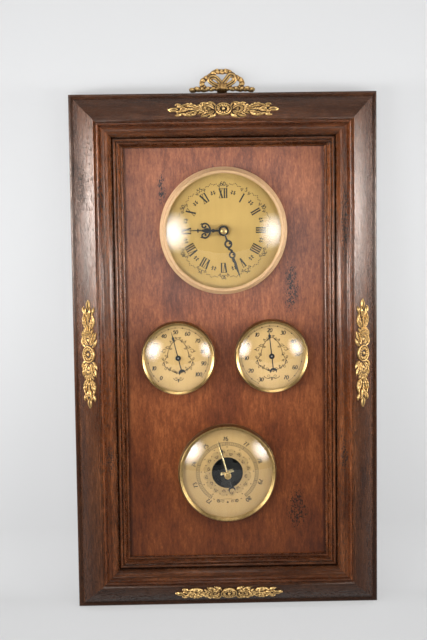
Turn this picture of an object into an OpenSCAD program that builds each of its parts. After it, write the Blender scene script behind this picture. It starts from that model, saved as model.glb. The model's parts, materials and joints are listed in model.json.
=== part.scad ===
// Wall weather station: moulded hardwood frame, clock, hygrometer, thermometer and aneroid barometer.
// The origin is the centre of the hanger's keyhole in the wall plane; +Z is up and the front faces -Y.

/* [Frame] */
// Width over the outer edges
frame_w = 306; // [292:1:330]
// Height over the outer edges
frame_h = 520; // [508:1:560]
// Distance from the top edge down to the hanging point
hang_drop = 34; // [33:0.5:36]
// Width of the moulding, outer edge to sight edge
face_w = 53.5; // [53.5:0.5:56]
// Thickness of the outer side, wall to lip
side_d = 22; // [20:0.5:24]
// Height of the crest above the wall
crest_d = 45; // [44:0.5:48]
// Distance from the outer edge to the crest fillet
crest_u = 25; // [24.5:0.1:25.2]
// Width of the flat lip along the outer edge
lip_w = 4.5; // [3.5:0.5:6]
// Height of the small steps beside the bands
quirk = 0.7; // [0.4:0.1:0.9]
// Bulge of the outer band above its chord
band_sag = 1.8; // [1.4:0.1:2]
// Height of the sight edge above the wall
sight_d = 33; // [32:0.5:34]
// How far the board runs under the sight edge
rebate_w = 7; // [5:0.5:8]

/* [Dial board] */
// Distance from the wall to the back of the board
board_back = 23; // [22.5:0.1:23.4]
// Thickness of the board
board_t = 5; // [4.6:0.1:5.4]
// Gap between the board and the rebate
board_gap = 0.5; // [0.2:0.1:1]
// Gap between a case and its hole in the board
hole_gap = 0.4; // [0.2:0.1:1]
// Diameter of the brads that hold the board
brad_d = 1.4; // [1:0.1:1.8]
// Length of the brads
brad_l = 12; // [10:1:14]

/* [Places on the board] */
// Clock centre, right of the middle
clock_x = -1; // [-4:0.5:4]
// Clock centre, down from the top edge
clock_down = 136; // [130:1:142]
// Hygrometer centre, right of the middle
hygro_x = -48; // [-50:0.5:-42]
// Hygrometer centre, below the frame's middle
hygro_below = 3.5; // [-2:0.5:6]
// Thermometer centre, right of the middle
thermo_x = 46; // [42:0.5:50]
// Thermometer centre, below the frame's middle
thermo_below = 3; // [-2:0.5:6]
// Barometer centre, right of the middle
baro_x = 0; // [-4:0.5:4]
// Barometer centre, up from the bottom edge
baro_up = 138.5; // [134:0.5:144]

/* [Bezels] */
// Diameter of the clock bezel
clock_d = 127; // [124:1:130]
// Height of the clock bezel
clock_bezel_h = 10; // [9.5:0.5:11]
// Radial width of the clock bezel
clock_face = 6.2; // [5.5:0.1:7]
// Diameter of the two small bezels
small_d = 74.5; // [72:0.5:77]
// Height of the two small bezels
small_bezel_h = 8; // [7.5:0.5:9]
// Radial width of the two small bezels
small_face = 3.6; // [3.2:0.1:4.2]
// Diameter of the barometer bezel
baro_d = 100; // [98:1:103]
// Height of the barometer bezel
baro_bezel_h = 9; // [8.5:0.5:10]
// Radial width of the barometer bezel
baro_face = 4.4; // [4:0.1:5]
// Thickness of the wall of the clock's stepped bezel
clock_wall = 3.4; // [3.2:0.1:3.8]
// Thickness of the wall of the other bezels
bezel_wall = 1.6; // [1.2:0.1:2]
// Thickness of a bezel's front lip
bezel_lip = 0.9; // [0.6:0.1:1.1]

/* [Glasses and dials] */
// Thickness of the glasses
glass_t = 1.6; // [1.2:0.1:1.8]
// Rise of the clock glass
clock_rise = 8; // [7.5:0.5:9]
// Rise of the small glasses
small_rise = 5.5; // [5:0.5:7]
// Rise of the barometer glass
baro_rise = 7; // [7:0.5:8]
// Thickness of the dials
dial_t = 0.6; // [0.4:0.1:0.8]
// Radius of the open centre of the barometer dial
open_r = 16; // [14:0.5:18]

/* [Cases] */
// Thickness of the case flanges
flange_t = 0.8; // [0.6:0.1:1]
// Wall of the cases
case_t = 0.8; // [0.6:0.1:1]
// Radius of the clock tray
tray_r = 50; // [48:0.5:52]
// Depth of the clock tray
tray_depth = 7.5; // [7:0.1:7.9]
// Radius of the small cases
small_case_r = 30; // [29:0.5:30.5]
// Depth of the small cases
small_depth = 14; // [13.5:0.5:16]
// Radius of the barometer case
baro_case_r = 43; // [42:0.5:43.5]
// Depth of the barometer case
baro_depth = 22; // [21.5:0.5:22.5]
// Shank radius of the flange screws
screw_r = 0.9; // [0.8:0.05:1]
// Length of the flange screws
screw_l = 4.5; // [4:0.5:4.5]

/* [Clock movement] */
// Side of the square movement
mov_side = 56; // [54:1:60]
// Depth of the movement
mov_depth = 16.5; // [16.5:0.1:17]
// Wall of the movement's two shells
mov_wall = 1; // [0.9:0.1:1.1]
// Height of the arbor above the movement's bottom edge
mov_below = 34; // [33:0.5:36]
// Radius of the battery
battery_r = 7.1; // [6.9:0.05:7.1]
// Length of the battery between its end faces
battery_l = 50.5; // [48:0.5:50.5]
// Radius of the threaded bush
bush_r = 4; // [3.6:0.1:4.4]
// Radius of the hour tube
tube_r = 2; // [1.8:0.1:2.2]
// Radius of the minute arbor
minute_r = 1; // [0.9:0.05:1.1]
// Radius of the motion arbor
motion_r = 0.7; // [0.6:0.05:0.8]
// Distance between the minute arbor and the motion arbor
motion_c = 9.6; // [9.4:0.1:10.2]
// Radius of the setting knob
knob_r = 6; // [5:0.5:7]

/* [Clock hands] */
// Length of the hour hand
hour_l = 35.6; // [34:0.2:37]
// Length of the minute hand
minute_l = 49.3; // [47:0.1:50.5]
// Thickness of the clock hands
hand_t = 0.5; // [0.4:0.1:0.6]
// Angle of the hour hand, clockwise from the top
hour_angle = 271; // [0:1:360]
// Angle of the minute hand, clockwise from the top
minute_angle = 161; // [0:1:360]

/* [Small instruments] */
// Length of the small pointers
pointer_l = 27.5; // [26:0.5:29]
// Length of their tails
pointer_tail = 15.9; // [14:0.1:18]
// Thickness of the pointers
pointer_t = 0.4; // [0.3:0.05:0.5]
// Radius of the small arbors
arbor_r = 0.6; // [0.5:0.05:0.8]
// Inner radius of the bimetal coils
coil_r = 2.4; // [2.3:0.1:2.6]
// Turns of the coils
coil_turns = 4; // [3:1:4]
// Distance from turn to turn
coil_pitch = 1.9; // [1.7:0.1:2]
// Thickness of the coil strip
coil_t = 0.45; // [0.4:0.05:0.6]
// Width of the coil strip
coil_w = 4; // [3:0.5:4.5]
// Distance of the bridge's legs from the arbor
leg_x = 21; // [20:0.5:23]
// Angle of the hygrometer pointer, clockwise from the top
hygro_angle = -13.9; // [-139:0.1:129]
// Angle of the thermometer pointer, clockwise from the top
thermo_angle = -6; // [-153:0.1:146]

/* [Barometer movement] */
// Radius of the aneroid capsule
capsule_r = 14; // [13:0.5:15]
// Height of the capsule
capsule_h = 6.8; // [6.4:0.1:7]
// Distance of the capsule below the arbor
capsule_drop = 2; // [1:0.5:3]
// Width of the mainspring
spring_w = 14; // [12:0.5:15]
// Thickness of the mainspring
spring_t = 1.2; // [1:0.1:1.3]
// Radius of the drum on the arbor
drum_r = 0.9; // [0.8:0.05:1]
// Length of the rocker's arm
rocker_arm = 9; // [8.5:0.1:9.2]
// Distance of the rocker's shaft from the arbor
rocker_x = 27; // [26:0.5:28]
// Length of the barometer pointer
baro_pointer_l = 34; // [33:0.5:36]
// Length of the barometer pointer's tail
baro_tail = 18.4; // [17:0.1:20]
// Length of the set hand
set_l = 34.5; // [33:0.5:36]
// Radius of the set hand's knob
set_knob_r = 3.5; // [3:0.1:4]
// Height of the set hand's knob
set_knob_h = 5; // [4:0.5:6]
// Angle of the barometer pointer, clockwise from the top
baro_angle = -14.5; // [-147:0.1:142]
// Angle of the set hand, clockwise from the top
set_angle = -16.7; // [-180:0.1:180]

/* [Hanger] */
// Radius of the keyhole's round part
key_r = 4.5; // [4.2:0.1:5]
// Radius of the keyhole's slot
key_slot_r = 2.1; // [1.8:0.1:2.2]
// Length of the slot above the round part
key_slot_l = 8; // [7:0.5:9]
// Thickness of the hanger plate
hanger_t = 1.5; // [1.2:0.1:2]
// Width of the hanger plate
hanger_w = 44; // [42:1:50]
// Height of the hanger plate
hanger_h = 22; // [21:0.5:22.5]
// Thickness of the bow's foot
foot_t = 1.6; // [1.2:0.1:2]

/* [Mounts of cast brass] */
// Length of a mount
cast_l = 109; // [104:1:114]
// Width of a mount across the band
cast_w = 20.8; // [20:0.1:21]
// Shift of a mount from the middle of the band towards the crest
cast_in = 4.2; // [3.8:0.1:4.2]
// Relief of a mount above the band
cast_h = 3.4; // [3:0.1:3.8]
// Height of the bow above the frame
bow_h = 25.4; // [24:0.2:27]
// Width of the bow over its tails
bow_w = 69; // [66:1:73]

/* [Clearances] */
// Radial clearance of a running fit
run = 0.05; // [0.03:0.01:0.08]
// Clearance between fixed pieces
slip = 0.15; // [0.1:0.01:0.2]

/* [Hidden] */
$fn = 48;

board_front = board_back + board_t;
rebate_u = face_w - rebate_w;
overlap = 1;

wood = "#5a3423";
veneer = "#8a4a2e";
gilt = "#b8923e";
brass = "#c9a35a";
dial_gold = "#cdb47a";
black = "#1c1a18";
steel = "#8d8d8d";
plastic = "#2b2b2b";
clear = [0.8, 0.9, 0.95, 0.3];

// Points on an arc round centre c from angle a0 to angle a1, in n steps
function arc(c, r, a0, a1, n) = [for (i = [0:n])
    let (a = a0 + (a1 - a0) * i / n) [c[0] + r * cos(a), c[1] + r * sin(a)]];

// Points on an arc that bulges by sag to the left of the way from p to q
function bulge(p, q, sag, n) = let (
    half = norm(q - p) / 2,
    r = (half * half + sag * sag) / (2 * sag),
    along = (q - p) / (2 * half),
    left = [-along[1], along[0]],
    c = (p + q) / 2 - left * (r - sag),
    sweep = asin(half / r))
    [for (i = [0:n]) let (a = sweep * (2 * i / n - 1)) c + r * (along * sin(a) + left * cos(a))];

// Places and axes

// From the wall plane at the frame's centre: x right, y up, z towards the room
module on_wall() {
    translate([0, 0, hang_drop - frame_h / 2]) rotate([90, 0, 0]) children();
}

// From the board's front at a place given right of the frame's middle and above it
module on_board(x, y) {
    on_wall() translate([x, y, board_front]) children();
}

module at_clock() {
    on_board(clock_x, frame_h / 2 - clock_down) children();
}

module at_hygro() {
    on_board(hygro_x, -hygro_below) children();
}

module at_thermo() {
    on_board(thermo_x, -thermo_below) children();
}

module at_baro() {
    on_board(baro_x, baro_up - frame_h / 2) children();
}

// Turns a hand drawn upwards to its angle on the dial
module turned(angle) {
    rotate([0, 0, -angle]) children();
}

// Frame

band_p = [lip_w, side_d + quirk];
band_q = [crest_u, crest_d - quirk];
band_slope = atan2(band_q[1] - band_p[1], band_q[0] - band_p[0]);
band_l = norm(band_q - band_p);
band_r = (pow(band_l / 2, 2) + band_sag * band_sag) / (2 * band_sag);
band_c = (band_p + band_q) / 2 - (band_r - band_sag) * [-sin(band_slope), cos(band_slope)];
bead_r = 1.7;
bead_u = crest_u + 4;
cove_r = 3.4;
ovolo_r = 6;
ovolo_u = crest_u + 11.5;
ovolo_drop = 1.9;
ovolo_end = 10;
reed_r = 1.5;
reed_u = ovolo_u + 8.5;
reed2_r = 1.1;
reed2_u = reed_u + 3;
sight_r = 1.45;
lip_r = 2.2;

// Section of the moulding: x from the outer edge inwards, y from the wall outwards
moulding = concat(
    [[0, 0]],
    arc([lip_r, side_d - lip_r], lip_r, 180, 90, 5),
    [[lip_w, side_d]],
    bulge(band_p, band_q, band_sag, 10),
    [[crest_u, crest_d], [crest_u + 2.3, crest_d]],
    arc([bead_u, crest_d + 0.1 - bead_r], bead_r, 150, 5, 7),
    arc([bead_u + 4.5, crest_d + 0.4], cove_r, 215, 315, 7),
    arc([ovolo_u, crest_d - ovolo_drop - ovolo_r], ovolo_r, 100, ovolo_end, 9),
    [[ovolo_u + ovolo_r * cos(ovolo_end), crest_d - 11.5], [reed_u - reed_r, crest_d - 11.5]],
    arc([reed_u, crest_d - 7.6], reed_r, 180, 0, 7),
    [[reed_u + reed_r, crest_d - 9.2], [reed2_u - reed2_r, crest_d - 9.2]],
    arc([reed2_u, crest_d - 9], reed2_r, 180, 0, 6),
    [[face_w - 2 * sight_r, sight_d + 0.4]],
    arc([face_w - sight_r, sight_d - sight_r], sight_r, 150, 0, 6),
    [[face_w, board_front], [rebate_u, board_front], [rebate_u, 0]]);

// A rail along the bottom of a frame that is run wide and rise high, mitred at both ends
module rail(run_l, rise) {
    intersection() {
        translate([-run_l / 2, -rise / 2, 0]) rotate([90, 0, 90]) linear_extrude(run_l) polygon(moulding);
        translate([0, 0, -overlap]) linear_extrude(crest_d + 3 * overlap) polygon([
            [-run_l / 2, -rise / 2],
            [run_l / 2, -rise / 2],
            [run_l / 2 - face_w - overlap, face_w + overlap - rise / 2],
            [face_w + overlap - run_l / 2, face_w + overlap - rise / 2]]);
    }
}

// Places of the brads along one rail
function brad_row(run_l, n) = [for (i = [0:n - 1]) (i - (n - 1) / 2) * (run_l - 2 * face_w) / n];
brads_short = 2;
brads_long = 4;
brad_in = 5;

module brad_along(run_l, rise, n, r) {
    for (x = brad_row(run_l, n))
        translate([x, rebate_u - rise / 2 - brad_in, board_back - r]) rotate([-90, 0, 0])
            cylinder(h = brad_l, r = r);
}

// Outline of the hanger plate on the frame's back, grown on every side
module hanger_outline(grow) {
    translate([-hanger_w / 2 - grow, frame_h / 2 - hang_drop + hanger_up - hanger_h / 2 - grow])
        square([hanger_w + 2 * grow, hanger_h + 2 * grow]);
}

// The hanger plate's centre lies this far above the keyhole's round part
hanger_up = 2;
pocket_depth = 9;
foot_w = 24;
foot_drop = 13;
back_screw_r = 1.2;
back_screw_l = 11;
hanger_screw_x = 16;
foot_screw_x = 8;

// Places of the two hanger screws and the two foot screws on the frame's back
function back_screw_places() = [
    for (s = [-1, 1]) [s * hanger_screw_x, frame_h / 2 - hang_drop + hanger_up, hanger_t],
    for (s = [-1, 1]) [s * foot_screw_x, frame_h / 2 - foot_drop / 2, foot_t]];

// A small countersunk screw that lies flush with the back; grow widens it for its hole
module back_screw(plate_t, grow) {
    cylinder(h = plate_t, r1 = 2 * back_screw_r + grow, r2 = back_screw_r + grow);
    translate([0, 0, plate_t - overlap / 10])
        cylinder(h = back_screw_l - plate_t + overlap / 10 + grow, r = back_screw_r + grow);
}

module back_screw_holes() {
    for (p = back_screw_places())
        translate([p[0], p[1], 0]) back_screw(p[2], run / 2);
}

module top_rail() {
    pocket_w = 2 * key_r + 8;
    color(wood) on_wall() difference() {
        rotate([0, 0, 180]) rail(frame_w, frame_h);
        translate([0, 0, -overlap]) linear_extrude(hanger_t + overlap) hanger_outline(slip);
        translate([0, 0, -overlap]) linear_extrude(foot_t + overlap)
            translate([-foot_w / 2 - slip, frame_h / 2 - foot_drop - slip])
                square([foot_w + 2 * slip, foot_drop + overlap + slip]);
        translate([-pocket_w / 2, frame_h / 2 - hang_drop - key_r - 2, -overlap])
            cube([pocket_w, key_slot_l + 2 * key_r + 2, pocket_depth + overlap]);
        back_screw_holes();
        rotate([0, 0, 180]) brad_along(frame_w, frame_h, brads_short, brad_d / 2 + run / 2);
    }
}

module bottom_rail() {
    color(wood) on_wall() difference() {
        rail(frame_w, frame_h);
        brad_along(frame_w, frame_h, brads_short, brad_d / 2 + run / 2);
    }
}

module stile(side) {
    color(wood) on_wall() rotate([0, 0, side * 90]) difference() {
        rail(frame_h, frame_w);
        brad_along(frame_h, frame_w, brads_long, brad_d / 2 + run / 2);
    }
}

module left_stile() {
    stile(-1);
}

module right_stile() {
    stile(1);
}

module board_nails() {
    color(steel) on_wall() {
        for (a = [0, 180])
            rotate([0, 0, a]) brad_along(frame_w, frame_h, brads_short, brad_d / 2);
        for (a = [90, -90])
            rotate([0, 0, a]) brad_along(frame_h, frame_w, brads_long, brad_d / 2);
    }
}

// Inner radius of each bezel's wall, which the case flange, the dial and the glass fit into
clock_in = clock_d / 2 - clock_wall;
small_in = small_d / 2 - bezel_wall;
baro_in = baro_d / 2 - bezel_wall;
screws_per_case = 3;

module screw_places(r_in, case_r) {
    for (i = [0:screws_per_case - 1])
        rotate([0, 0, 30 + 360 * i / screws_per_case]) translate([(case_r + r_in) / 2, 0, 0]) children();
}

// Countersunk screw with its head flush in the flange; grow widens it for its hole
module flange_screw(grow) {
    cylinder(h = flange_t, r1 = screw_r + grow, r2 = 2 * screw_r + grow);
    translate([0, 0, -screw_l - grow]) cylinder(h = screw_l + grow + overlap / 10, r = screw_r + grow);
}

module dial_board() {
    w = frame_w - 2 * (rebate_u + board_gap);
    h = frame_h - 2 * (rebate_u + board_gap);
    color(veneer) difference() {
        on_wall() translate([-w / 2, -h / 2, board_back]) cube([w, h, board_t]);
        at_clock() board_cut(clock_in, tray_r);
        at_hygro() board_cut(small_in, small_case_r);
        at_thermo() board_cut(small_in, small_case_r);
        at_baro() board_cut(baro_in, baro_case_r);
    }
}

module board_cut(r_in, case_r) {
    translate([0, 0, -board_t - overlap]) cylinder(h = board_t + 2 * overlap, r = case_r + hole_gap);
    screw_places(r_in, case_r) flange_screw(run / 2);
}

module case_screws() {
    color(brass) {
        at_clock() screw_places(clock_in, tray_r) flange_screw(0);
        at_hygro() screw_places(small_in, small_case_r) flange_screw(0);
        at_thermo() screw_places(small_in, small_case_r) flange_screw(0);
        at_baro() screw_places(baro_in, baro_case_r) flange_screw(0);
    }
}

// Hanging

module hanger_plate() {
    color(brass) on_wall() difference() {
        linear_extrude(hanger_t) difference() {
            hanger_outline(0);
            translate([0, frame_h / 2 - hang_drop]) {
                circle(key_r);
                translate([-key_slot_r, 0]) square([2 * key_slot_r, key_slot_l]);
                translate([0, key_slot_l]) circle(key_slot_r);
            }
        }
        back_screw_holes();
    }
}

module back_screws() {
    color(brass) on_wall() for (p = back_screw_places())
        translate([p[0], p[1], 0]) back_screw(p[2], 0);
}

// Cast ornaments

// Normal to the left of a path at point i
function path_left(path, i) = let (
    last = len(path) - 1,
    d = path[min(i + 1, last)] - path[max(i - 1, 0)],
    n = norm([d[0], d[1]]))
    [-d[1] / n, d[0] / n];

// A relief strip: ridged along the path, w wide each side and h high at each point, with its back sunk
module relief(path, w, h, sunk) {
    n = len(path);
    k = 3;
    points = [for (i = [0:n - 1]) let (s = path_left(path, i), p = path[i]) each [
        [p[0] + s[0] * w[i], p[1] + s[1] * w[i], -sunk],
        [p[0], p[1], h[i]],
        [p[0] - s[0] * w[i], p[1] - s[1] * w[i], -sunk]]];
    sides = [for (i = [0:n - 2]) for (j = [0:k - 1]) let (a = i * k + j, b = i * k + (j + 1) % k)
        each [[a, b + k, b], [a, a + k, b + k]]];
    caps = [[for (j = [0:k - 1]) j], [for (j = [0:k - 1]) n * k - 1 - j]];
    polyhedron(points, concat(sides, caps), convexity = 4);
}

// Points along a quadratic curve from a by b to c
function quad(a, b, c, n) = [for (i = [0:n]) let (t = i / n)
    a * (1 - t) * (1 - t) + b * 2 * t * (1 - t) + c * t * t];

// Length and width that the mounts' leaves, scrolls and knobs are drawn at
drawn_l = 109;
drawn_w = 22;

// Half-widths of a leaf that swells to w and ends in a small tip
function leaf_w(w, n) = [for (i = [0:n]) w * (i == n ? 0.15 : 0.4 + 0.6 * sin(150 * i / n + 10))];

function leaf_h(h, n) = [for (i = [0:n]) h * (i == n ? 0.35 : 0.55 + 0.45 * sin(140 * i / n))];

module leaf(a, b, c, w, h, n, sunk) {
    relief(quad(a, b, c, n), leaf_w(w, n), leaf_h(h, n), sunk);
}

// Fan of lobes that opens towards +x
module palmette(base, reach, w, h, sunk) {
    for (a = [-68, -34, 0, 34, 68]) {
        l = reach * (1 - 0.0062 * abs(a));
        bend = a * 0.4;
        leaf(base, base + 0.55 * l * [cos(a + bend), sin(a + bend)], base + l * [cos(a), sin(a)],
            w * (1 - 0.002 * abs(a)), h * (1 - 0.003 * abs(a)), 4, sunk);
    }
}

module spray(sunk) {
    for (s = [-1, 1]) {
        leaf([6, s * 3.2], [14, s * 5.5], [11.5, s * 10.6], 1.8, 0.7 * cast_h, 3, sunk);
        leaf([6.5, s * 1], [16, s * 4.6], [25.5, s * 8.6], 1.8, 0.8 * cast_h, 3, sunk);
    }
}

module scroll(sunk) {
    for (s = [-1, 1]) {
        leaf([30, s * 1], [37.5, s * 11], [45.5, s * 5.4], 1.9, 0.8 * cast_h, 4, sunk);
        hull() {
            translate([45.4, s * 5.2, -sunk]) cylinder(h = sunk + 0.2, r = 2, $fn = 7);
            translate([45.4, s * 5.2, 0]) cylinder(h = 0.7 * cast_h, r = 0.8, $fn = 4);
        }
    }
}

// A knob of cast metal, round in plan
module boss(x, r, h, sunk) {
    hull() {
        translate([x, 0, -sunk]) cylinder(h = sunk + 0.5 * h, r = r, $fn = 8);
        translate([x, 0, 0]) cylinder(h = h, r = 0.45 * r, $fn = 8);
    }
}

module bud(sunk) {
    leaf([33, 0], [41, 0], [50, 0], 1.7, 0.85 * cast_h, 3, sunk);
    boss(39.5, 1.9, 0.8 * cast_h, sunk);
    hull() {
        boss(51, 1.9, 0.7 * cast_h, sunk);
        translate([drawn_l / 2 - 1, 0, -sunk]) cylinder(h = sunk + 0.4 * cast_h, r = 1, $fn = 5);
    }
}

petals = 10;
rosette_rx = 8.8;

module rosette(sunk) {
    ry = 0.46 * drawn_w;
    scale([1, ry / rosette_rx, 1]) {
        for (i = [0:petals - 1])
            rotate([0, 0, 360 * i / petals]) hull() {
                translate([2.4, 0, 0.5 * cast_h]) cylinder(h = 0.38 * cast_h, r = 0.6, $fn = 4);
                translate([0.72 * rosette_rx, 0, 0]) cylinder(h = 0.78 * cast_h, r1 = 1.6, r2 = 0.8, $fn = 6);
            }
        translate([0, 0, -sunk])
            cylinder(h = sunk + 0.42 * cast_h, r1 = rosette_rx, r2 = 0.92 * rosette_rx, $fn = 20);
    }
    cylinder(h = cast_h, r1 = 2.6, r2 = 1.1, $fn = 10);
}

cast_sunk = 1.3;
cast_clear = 0.02;

// Outline over the band with few corners: each side touches the band's arc at its middle
function band_cover(n) = let (
    sweep = asin(band_l / 2 / band_r),
    out = (band_r + cast_clear) / cos(sweep / n))
    [for (i = [0:n]) let (a = band_slope + 90 + sweep - 2 * sweep * i / n) band_c + out * [cos(a), sin(a)]];

// One mount, drawn over the bottom rail's band beside the crest and cut to the band's curve
module mount_on_band() {
    turn = asin(cast_in / band_r);
    cover = band_cover(3);
    inner_u = crest_u + cast_w / 2;
    difference() {
        translate([0, band_c[0], band_c[1]]) rotate([band_slope - turn, 0, 0]) translate([0, 0, band_r])
            scale([cast_l / drawn_l, cast_w / drawn_w, 1]) {
                for (m = [0, 1])
                    mirror([m, 0, 0]) {
                        palmette([15, 0], 21, 2.5, cast_h, cast_sunk);
                        spray(cast_sunk);
                        scroll(cast_sunk);
                        bud(cast_sunk);
                    }
                rosette(cast_sunk);
            }
        translate([-cast_l / 2 - overlap, 0, 0]) rotate([90, 0, 90]) linear_extrude(cast_l + 2 * overlap)
            polygon(concat([[0, 0], [0, cover[0][1]]], cover, [[inner_u, cover[3][1]], [inner_u, 0]]));
    }
}

// A mount on the side that is turned by a from the bottom, with the edge at half the rise
module mount(a, rise, along) {
    color(gilt) on_wall() rotate([0, 0, a]) translate([along, -rise / 2, 0]) mount_on_band();
}

// Shift of the two side mounts above the frame's middle
left_mount_up = 3;
right_mount_up = 0;

module top_mount() {
    mount(180, frame_h, 0);
}

module bottom_mount() {
    mount(0, frame_h, 0);
}

module left_mount() {
    mount(-90, frame_w, -left_mount_up);
}

module right_mount() {
    mount(90, frame_w, right_mount_up);
}

// A bent ribbon of oval section: the path has x, y and depth z; w is its half-width, t its half-thickness
module ribbon(path, w, t) {
    n = len(path);
    k = 5;
    points = [for (i = [0:n - 1]) let (s = path_left(path, i), p = path[i])
        for (j = [0:k - 1]) let (a = 90 + 360 * j / k)
            [p[0] + s[0] * w[i] * cos(a), p[1] + s[1] * w[i] * cos(a), p[2] + t * sin(a)]];
    sides = [for (i = [0:n - 2]) for (j = [0:k - 1]) let (a = i * k + j, b = i * k + (j + 1) % k)
        each [[a, b + k, b], [a, a + k, b + k]]];
    caps = [[for (j = [0:k - 1]) j], [for (j = [0:k - 1]) n * k - 1 - j]];
    polyhedron(points, concat(sides, caps), convexity = 6);
}

bow_z = 4;
bow_t = 1.9;
arch_w = 2.35;
arch_foot = [16.8, 3.2, bow_z];
arch_shoulder = [15.6, 14.6, bow_z];
arch_crown = [5, bow_h - 3.1, bow_z];

// Centre line of the arch's right half, from its foot over the shoulder to the middle of its flat top
arch_half = concat(
    quad(arch_foot, [24, 9.8, bow_z], arch_shoulder, 7),
    [for (p = quad(arch_shoulder, [9.4, 17.6, bow_z], arch_crown, 5)) if (p != arch_shoulder) p],
    [for (p = quad(arch_crown, [2.6, bow_h - 2.5, bow_z], [0, bow_h - 3, bow_z], 3)) if (p != arch_crown) p]);
arch_last = len(arch_half) - 1;
arch = concat(arch_half, [for (i = [1:arch_last]) let (p = arch_half[arch_last - i]) [-p[0], p[1], p[2]]]);

// Ribbons on one side: s is the side, and peak the top of its loop
module bow_side(s, peak) {
    tail = quad([s * 15, 1.8, bow_z], [s * 25, 4, bow_z + 0.6], [s * (bow_w / 2 - 0.6), 1.6, bow_z], 6);
    foot_ribbon = quad([s * 0.8, 5.6, bow_z], [s * 9, 1.2, bow_z + 0.6], [s * 19, 2.6, bow_z], 5);
    loop_up = quad([s * 0.7, 7.5, bow_z + 0.4], [s * 4, peak[1] + 0.6, bow_z + 1.4],
        [s * peak[0], peak[1], bow_z + 0.6], 6);
    loop_down = quad([s * peak[0], peak[1], bow_z + 0.6], [s * (peak[0] + 6.4), peak[1] - 1.4, bow_z + 0.9],
        [s * 0.9, 5.8, bow_z + 0.3], 7);
    ribbon(tail, [for (i = [0:6]) 2.1 + 0.3 * cos(120 * i) - (i == 6 ? 0.9 : 0)], bow_t);
    ribbon(foot_ribbon, [for (i = [0:5]) 1.2 + 0.2 * i], bow_t);
    ribbon(loop_up, [for (i = [0:6]) 0.9 + 0.2 * i], 0.8 * bow_t);
    ribbon(loop_down, [for (i = [0:7]) 2 - 0.16 * i], 0.8 * bow_t);
    hull() {
        translate([s * 14, 0.2, bow_z]) cylinder(h = 1, r = 1, $fn = 8);
        translate([s * 9, 0.2, 0.3]) cylinder(h = bow_z, r = 1.1, $fn = 8);
    }
    for (x = [0.5, 1.5])
        hull() {
            translate([s * x, 3.1, bow_z + 1.2]) cylinder(h = 0.8, r = 0.5, $fn = 6);
            translate([s * x * 0.8, 8.5, bow_z + 1.3]) cylinder(h = 0.8, r = 0.45, $fn = 6);
        }
}

module bow_knot() {
    hull() {
        translate([-1.4, 4.4, bow_z]) sphere(r = 2.2, $fn = 8);
        translate([1.5, 4.5, bow_z]) sphere(r = 2.2, $fn = 8);
        translate([0.1, 8.3, bow_z + 0.4]) sphere(r = 2, $fn = 8);
    }
    hull() {
        translate([-foot_w / 2 + 0.5, 0, 0]) cube([foot_w - 1, 1.4, foot_t]);
        translate([-foot_w / 2 + 2, 0, 0.2]) cube([foot_w - 4, 1.2, bow_z]);
    }
}

module bow_foot() {
    translate([-foot_w / 2, -foot_drop, 0]) difference() {
        cube([foot_w, foot_drop + 3, foot_t]);
        for (s = [-1, 1])
            translate([foot_w / 2 + s * foot_screw_x, foot_drop / 2, 0]) back_screw(foot_t, run / 2);
    }
}

module crest_bow() {
    color(gilt) on_wall() translate([0, frame_h / 2, 0]) {
        bow_foot();
        intersection() {
            union() {
                ribbon(arch, [for (i = [0:2 * arch_last]) arch_w + 0.35 * cos(360 * i / 3.4)], bow_t);
                bow_side(-1, [8.6, 16.6]);
                bow_side(1, [9.1, 18.2]);
                bow_knot();
            }
            translate([-bow_w / 2, 0.05, 0.05]) cube([bow_w, bow_h, 3 * bow_z]);
        }
    }
}

// Common pieces of the four instruments

function lip_under(h) = h - bezel_lip - 1.4;

// Rolled brass bezel: foot on the board, rounded shoulder, thin lip over the glass
module bezel(od, h, face) {
    r = od / 2;
    top_r = r - 0.42 * face;
    rotate_extrude($fn = 96) polygon(concat(
        [[r, 0], [r, 1.3], [r - 0.35, 1.7]],
        [for (i = [0:6]) let (a = 90 * i / 6)
            [top_r + (r - 0.35 - top_r) * cos(a), 2.1 + (h - 2.1) * sin(a)]],
        [for (i = [1:4]) let (a = 90 * i / 4)
            [r - face + (top_r - r + face) * cos(a), h - 1.4 + 1.4 * cos(a)]],
        [[r - face, lip_under(h)], [r - bezel_wall, lip_under(h)], [r - bezel_wall, 0]]));
}

// Stepped bezel of the clock
module step_bezel(od, h, face) {
    r = od / 2;
    rotate_extrude($fn = 96) polygon(concat(
        [[r, 0], [r, 2.4]],
        [for (i = [0:4]) let (a = 90 * i / 4) [r - 1.6 + 1.2 * cos(a), 2.6 + 2.4 * sin(a)]],
        [[r - 1.9, 5.6]],
        [for (i = [0:5]) let (a = 90 * i / 5) [r - 3.9 + 1.8 * cos(a), 6 + (h - 6) * sin(a)]],
        [[r - 4.6, h - 0.5], [r - face, h - 1.6]],
        [[r - face, lip_under(h)], [clock_in, lip_under(h)], [clock_in, 0]]));
}

// Height of a dome of the given rise at radius x, out of radius r
function dome(rise, r, x) = rise * (1 - pow(x / r, 2.6));

// Domed glass in a bezel of inner radius r_in, with its flat rim under a lip of inner radius r_lip;
// hole_r is a hole for a knob, or 0
module glass(r_in, r_lip, h, rise, hole_r) {
    r_rim = r_in - slip;
    r_dome = r_lip - 0.6;
    r_under = r_dome - glass_t / 2;
    z0 = lip_under(h);
    n = 9;
    outer = [for (i = [0:n]) let (x = hole_r + (r_dome - hole_r) * i / n) [x, z0 + dome(rise, r_dome, x)]];
    inner = [for (i = [0:n]) let (x = r_under + (hole_r - r_under) * i / n)
        [x, z0 - glass_t + dome(rise, r_under, x)]];
    rotate_extrude($fn = 96) polygon(concat(outer, [[r_rim, z0], [r_rim, z0 - glass_t]], inner));
}

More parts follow.
